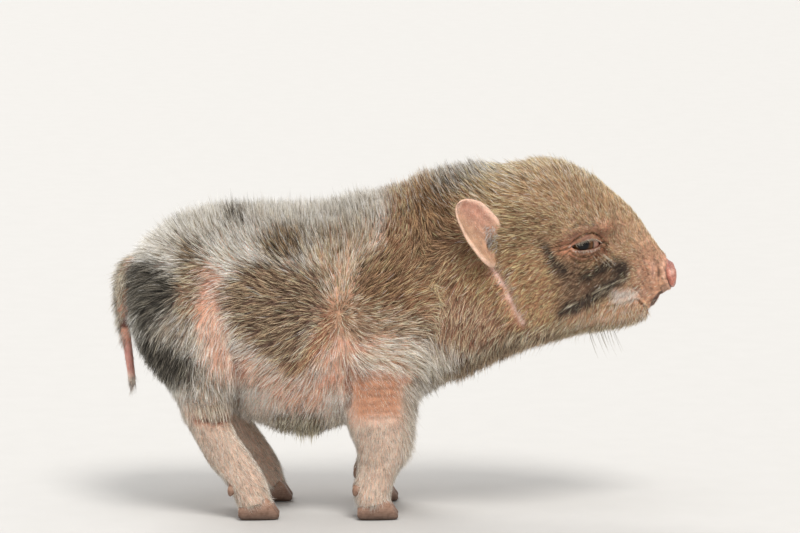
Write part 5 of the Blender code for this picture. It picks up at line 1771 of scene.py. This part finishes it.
sprout(scattered(((604, 222), (640, 234), (636, 260), (606, 250)), 60), (-0.4, -0.7, 0.4), (-0.7, -0.5, 0.3), 4.0, 0.12, *PALE)
sprout(scattered(((584, 322), (616, 318), (620, 328), (588, 336)), 20), (0.2, -0.4, -0.9), (0.45, -0.1, -0.9), 17.0, 0.19, (58, 48, 38), (150, 136, 114), 0.10)
sprout(scattered(((606, 289), (636, 290), (634, 299), (608, 301)), 110), (-0.3, -0.7, -0.4), (-0.25, -0.35, -0.9), 4.2, 0.15, (206, 184, 166), (246, 238, 228), 0.2)
sprout(scattered(((616, 306), (648, 306), (648, 318), (620, 324)), 50), (0.2, -0.5, -0.8), (0.35, -0.2, -0.9), 5.5, 0.14, *PALE)
sprout(scattered(((500, 330), (600, 318), (598, 332), (510, 352)), 90), (-0.3, -0.5, -0.8), (-0.1, -0.2, -1.0), 8.5, 0.17, (120, 106, 80), (226, 216, 190), 0.16)
sprout(scattered(((420, 360), (500, 336), (500, 352), (430, 384)), 90), (-0.2, -0.4, -0.9), (0.1, -0.1, -1.0), 8.5, 0.18, (120, 106, 80), (226, 216, 190), 0.16)
sprout(scattered(((484, 226), (492, 224), (499, 238), (496, 252), (486, 244)), 90), (-0.1, -0.9, -0.1), (-0.35, -0.6, -0.6), 5.2, 0.17, (150, 146, 140), (240, 238, 234), 0.3)
sprout(scattered(((296, 420), (320, 420), (314, 434), (302, 434)), 90), (-0.1, -0.5, -0.8), (-0.05, 0.15, -1.0), 9.5, 0.24, (120, 108, 84), (214, 204, 176), 0.10)
sprout(scattered(((248, 412), (345, 410), (345, 428), (262, 424)), 150), (-0.15, -0.5, -0.8), (-0.1, -0.05, -1.0), 6.5, 0.20, (120, 110, 86), (226, 218, 194), 0.16)
sprout(scattered(((190, 398), (232, 396), (230, 410), (200, 412)), 110), (0.15, -0.4, -0.9), (0.2, -0.1, -1.0), 8.0, 0.22, (170, 152, 130), (236, 226, 208), 0.14)
sprout(scattered(((120, 268), (130, 262), (132, 312), (123, 312)), 90), (-0.5, -0.3, -0.7), (-0.15, 0.0, -1.0), 8.5, 0.2, (170, 156, 132), (236, 228, 208), 0.14)

fields = list(zip(*singles)) if singles else None
if fields:
    extra = [np.array(f) for f in fields]
    lone = len(extra[0])
    root = np.vstack([root, extra[0]])
    root_n = np.vstack([root_n, extra[1]])
    d0, d1 = np.vstack([d0, extra[2]]), np.vstack([d1, extra[3]])
    long, wide = np.concatenate([long, extra[4]]), np.concatenate([wide, extra[5]])
    at_root, at_tip = np.vstack([at_root, extra[6]]), np.vstack([at_tip, extra[7]])
    drawn = np.vstack([drawn, np.zeros((lone, 3))])
    under = np.concatenate([under, np.zeros(lone, bool)])
    root_ear, root_tail = np.concatenate([root_ear, np.zeros(lone)]), np.concatenate([root_tail, np.zeros(lone)])


# ---------------------------------------------------------------- the locks as solid mesh
def spine(k, t):
    return root[k] + long[k, None] * (t * d0[k] + 0.5 * t * t * (d1[k] - d0[k]))


def chart(k, kind):
    """Each root's place on an unwrap of the skin's own shape: round the body or limb, and along it."""
    p, nrm = root[k] / MM, root_n[k]
    if kind == "leg":
        x, y, z = p[:, 0], p[:, 1], p[:, 2]
        cx = np.where(x > -45, np.interp(z, [0, 30, 60], [-10, -8, -9]), np.interp(z, [8, 26, 49, 90], [-69, -80, -93, -98]))
        around = np.arctan2((np.abs(y) - 24.0), x - cx)
        u = (around / (2 * math.pi) + 0.5) * 0.46
        u = u + np.where(y > 0, 0.5, 0.0)
        v = z / 90.0
    else:
        centre = np.interp(p[:, 0], [-132, -60, 0, 60, 140], [112, 100, 108, 124, 121])
        around = np.arctan2(np.abs(p[:, 1]), p[:, 2] - centre)  # 0 on the back, pi under the belly
        run = p[:, 0] + 22.0 * nrm[:, 0]
        u = np.clip(around / math.pi, 0, 1)
        v = run / 330.0 + 0.5
        if kind == "both":
            u = np.where(p[:, 1] > 0, 0.5 + u / 2, 0.5 - u / 2)
    low_u, high_u, low_v, high_v = u.min(), u.max(), v.min(), v.max()
    return np.stack([0.01 + 0.98 * (u - low_u) / max(high_u - low_u, 1e-6), 0.01 + 0.98 * (v - low_v) / max(high_v - low_v, 1e-6)], 1)


def locks(name, k, kind, segments):
    """One piece of coat: a closed, flattened, tapering lock for each root in k."""
    count = len(k)
    if count == 0:
        return None
    ts = [i / segments for i in range(segments)] + [1.0]
    taper = {1: [1.0], 2: [1.0, 0.80], 3: [0.85, 1.0, 0.62]}[segments]
    verts = np.zeros((count, 3 * segments + 1, 3))
    tones = np.zeros((count, 3 * segments + 1, 3))
    places = np.zeros((count, 3 * segments + 1, 2))
    at = chart(k, kind)
    roll = RNG.normal(0, 0.45, count)[:, None]
    sunk = root[k] - root_n[k] * (0.25 * MM)
    lift = np.maximum(0.3 * MM - (spine(k, 1.0) + drawn[k])[:, 2], 0.0)[:, None] * np.array([0.0, 0.0, 1.0])
    for i, t in enumerate(ts):
        centre = spine(k, t) + (drawn[k] + lift) * t * t
        if i == 0:
            centre = sunk
        tangent_here = unit(d0[k] + t * (d1[k] - d0[k]) + 2 * t * drawn[k] / long[k, None])
        broad = unit(np.cross(tangent_here, root_n[k]) + 1e-9)
        deep = unit(np.cross(broad, tangent_here))
        broad, deep = broad * np.cos(roll) + deep * np.sin(roll), deep * np.cos(roll) - broad * np.sin(roll)
        tone_here = at_root[k] * (1 - t) ** 1.2 + at_tip[k] * (1 - (1 - t) ** 1.2)
        if i < segments:
            half = (wide[k] * taper[i] / 2)[:, None]
            verts[:, 3 * i] = centre - broad * half - deep * half * 0.30
            verts[:, 3 * i + 1] = centre + broad * half - deep * half * 0.30
            verts[:, 3 * i + 2] = centre + deep * half * 0.75
            for j, (du, dv) in enumerate(((-1.0, 0.0), (1.0, 0.0), (0.0, 0.4))):
                places[:, 3 * i + j] = at + np.array([du, 2 * t - 1 + dv]) * 0.0015
                tones[:, 3 * i + j] = tone_here
        else:
            verts[:, -1] = centre
            tones[:, -1] = at_tip[k]
            places[:, -1] = at + np.array([0.0, 1.0]) * 0.0015
    faces = [(0, 2, 1)]
    for i in range(segments - 1):
        o = 3 * i
        for j in range(3):
            a0, a1 = o + j, o + (j + 1) % 3
            faces += [(a0, a1, a1 + 3), (a0, a1 + 3, a0 + 3)]
    o, last = 3 * (segments - 1), 3 * segments
    faces += [(o, o + 1, last), (o + 1, o + 2, last), (o + 2, o, last)]
    faces = np.array(faces)
    stride = verts.shape[1]
    index = (faces[None] + (np.arange(count) * stride)[:, None, None]).reshape(-1)
    made = bpy.data.meshes.new(name)
    made.vertices.add(count * stride)
    made.vertices.foreach_set("co", verts.astype(np.float32).ravel())
    made.loops.add(len(index))
    made.loops.foreach_set("vertex_index", index.astype(np.int32))
    made.polygons.add(len(index) // 3)
    made.polygons.foreach_set("loop_start", np.arange(0, len(index), 3, dtype=np.int32))
    made.update(calc_edges=True)
    made.validate()
    made.shade_flat()
    layer = made.uv_layers.new(name="OFBake", do_init=False)
    layer.data.foreach_set("uv", places.reshape(-1, 2)[index].astype(np.float32).ravel())
    colour = made.attributes.new("tone", "FLOAT_COLOR", "POINT")
    tones = tones.reshape(-1, 3)
    colour.data.foreach_set("color", np.hstack([tones, np.ones((len(tones), 1))]).astype(np.float32).ravel())
    ob = bpy.data.objects.new(name, made)
    bpy.context.scene.collection.objects.link(ob)
    made.materials.append(COAT)
    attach(ob, "root")
    return ob


rx, ry = root[:, 0] / MM, root[:, 1] / MM
lone = np.arange(len(root)) >= total
is_ear, is_tail = (root_ear > 0.5) & ~lone, (root_tail > 0.5) & ~lone
fore, hind = leg_share(root)
is_leg = (np.maximum(fore, hind) > 0.5) & ~is_tail & ~lone
free = ~(is_ear | is_tail | is_leg | lone)
coats = []
for word, on_side in (("right", ry <= 0), ("left", ry > 0)):
    for part, low, high, slot in (
        ("rump", -200, -96, "cream_coat"),
        ("loin", -96, -58, "cream_coat"),
        ("girth", -58, -20, "cream_coat"),
        ("shoulder", -20, 22, "brown_coat"),
        ("nape", 22, 58, "brown_coat"),
    ):
        k = np.nonzero(free & on_side & ~under & (rx >= low) & (rx < high))[0]
        coats.append((f"coat_{part}_{word}", k, "body", 2, slot))
    coats.append((f"coat_crown_{word}", np.nonzero(free & on_side & ~under & (rx >= 58))[0], "body", 2, "tan_coat"))
    coats.append((f"underhair_body_{word}", np.nonzero(free & on_side & under & (rx < 58))[0], "body", 1, "cream_coat"))
    coats.append((f"underhair_head_{word}", np.nonzero(free & on_side & under & (rx >= 58))[0], "body", 1, "tan_coat"))
coats.append(("coat_forelegs", np.nonzero(is_leg & (rx > -45))[0], "leg", 1, "cream_coat"))
coats.append(("coat_hindlegs", np.nonzero(is_leg & (rx <= -45))[0], "leg", 1, "cream_coat"))
coats.append(("coat_ears", np.nonzero(is_ear)[0], "both", 1, "ear_skin"))
coats.append(("coat_tail", np.nonzero(is_tail)[0], "both", 1, "cream_coat"))
coats.append(("whiskers", np.nonzero(lone)[0], "both", 3, "cream_coat"))
amounts = {}
for name, k, kind, segments, slot in coats:
    ob = locks(name, k, kind, segments)
    if ob is not None:
        amounts[name] = len(ob.data.polygons)
amounts["piglet_skin"] = len(skin.data.polygons)

# ---------------------------------------------------------------- floor and light
floor_mesh = bmesh.new()
bmesh.ops.create_grid(floor_mesh, x_segments=8, y_segments=8, size=9.0)
floor = object_of("floor", floor_mesh)
floor_look, tree, shader = nodes_of("pale_floor")
where = tree.nodes.new("ShaderNodeTexCoord")
grain = node(tree, "ShaderNodeTexNoise", Scale=60.0, Detail=3.0)
link(tree, where, "Object", grain, "Vector")
tint = ramp(tree, ((0.3, (0.510, 0.505, 0.494)), (0.7, (0.521, 0.516, 0.505))))
link(tree, grain, "Fac", tint, "Fac")
link(tree, tint, "Color", shader, "Base Color")
shader.inputs["Roughness"].default_value = 0.8
floor.data.materials.append(floor_look)

world = bpy.data.worlds.new("studio")
bpy.context.scene.world = world
world.use_nodes = True
world.node_tree.nodes["Background"].inputs["Color"].default_value = (1.0, 0.985, 0.965, 1.0)
world.node_tree.nodes["Background"].inputs["Strength"].default_value = 0.62


def lamp(name, towards, width, power, colour):
    """A wide, far-off light that shines in this direction."""
    data = bpy.data.lights.new(name, "SUN")
    data.angle = math.radians(width)
    data.energy = power
    data.color = colour
    ob = bpy.data.objects.new(name, data)
    bpy.context.scene.collection.objects.link(ob)
    ob.rotation_euler = Vector(towards).to_track_quat("-Z", "Y").to_euler()


lamp("key", (-0.25, 0.75, -1.15), 22, 2.3, (1.0, 0.965, 0.92))
lamp("rim", (0.35, -0.9, -0.95), 30, 1.3, (1.0, 0.98, 0.95))
lamp("sky", (0.05, 0.22, -1.0), 45, 0.7, (0.97, 0.985, 1.0))
bpy.context.scene.view_settings.view_transform = "Standard"
bpy.context.scene.view_settings.look = "None"



def settle(p):
    """The snout's last fitting to the photo: its tip a little lower, narrower and shorter than it was modelled."""
    x, z = p[:, 0] / MM, p[:, 2] / MM
    w = smooth(115, 139, x)
    out = p.copy()
    out[:, 2] -= np.interp(z, [106.5, 113.0, 121.6, 131.0], [0.0, 1.2, 2.6, 4.9]) * w * MM
    out[:, 1] *= 1 - 0.08 * w * smooth(107, 113, z)
    out[:, 0] -= 1.0 * MM * smooth(132, 140, x) * smooth(108, 114, z)
    return out


for name in amounts:
    made = bpy.data.objects[name].data
    set_points(made, settle(points_of(made)))
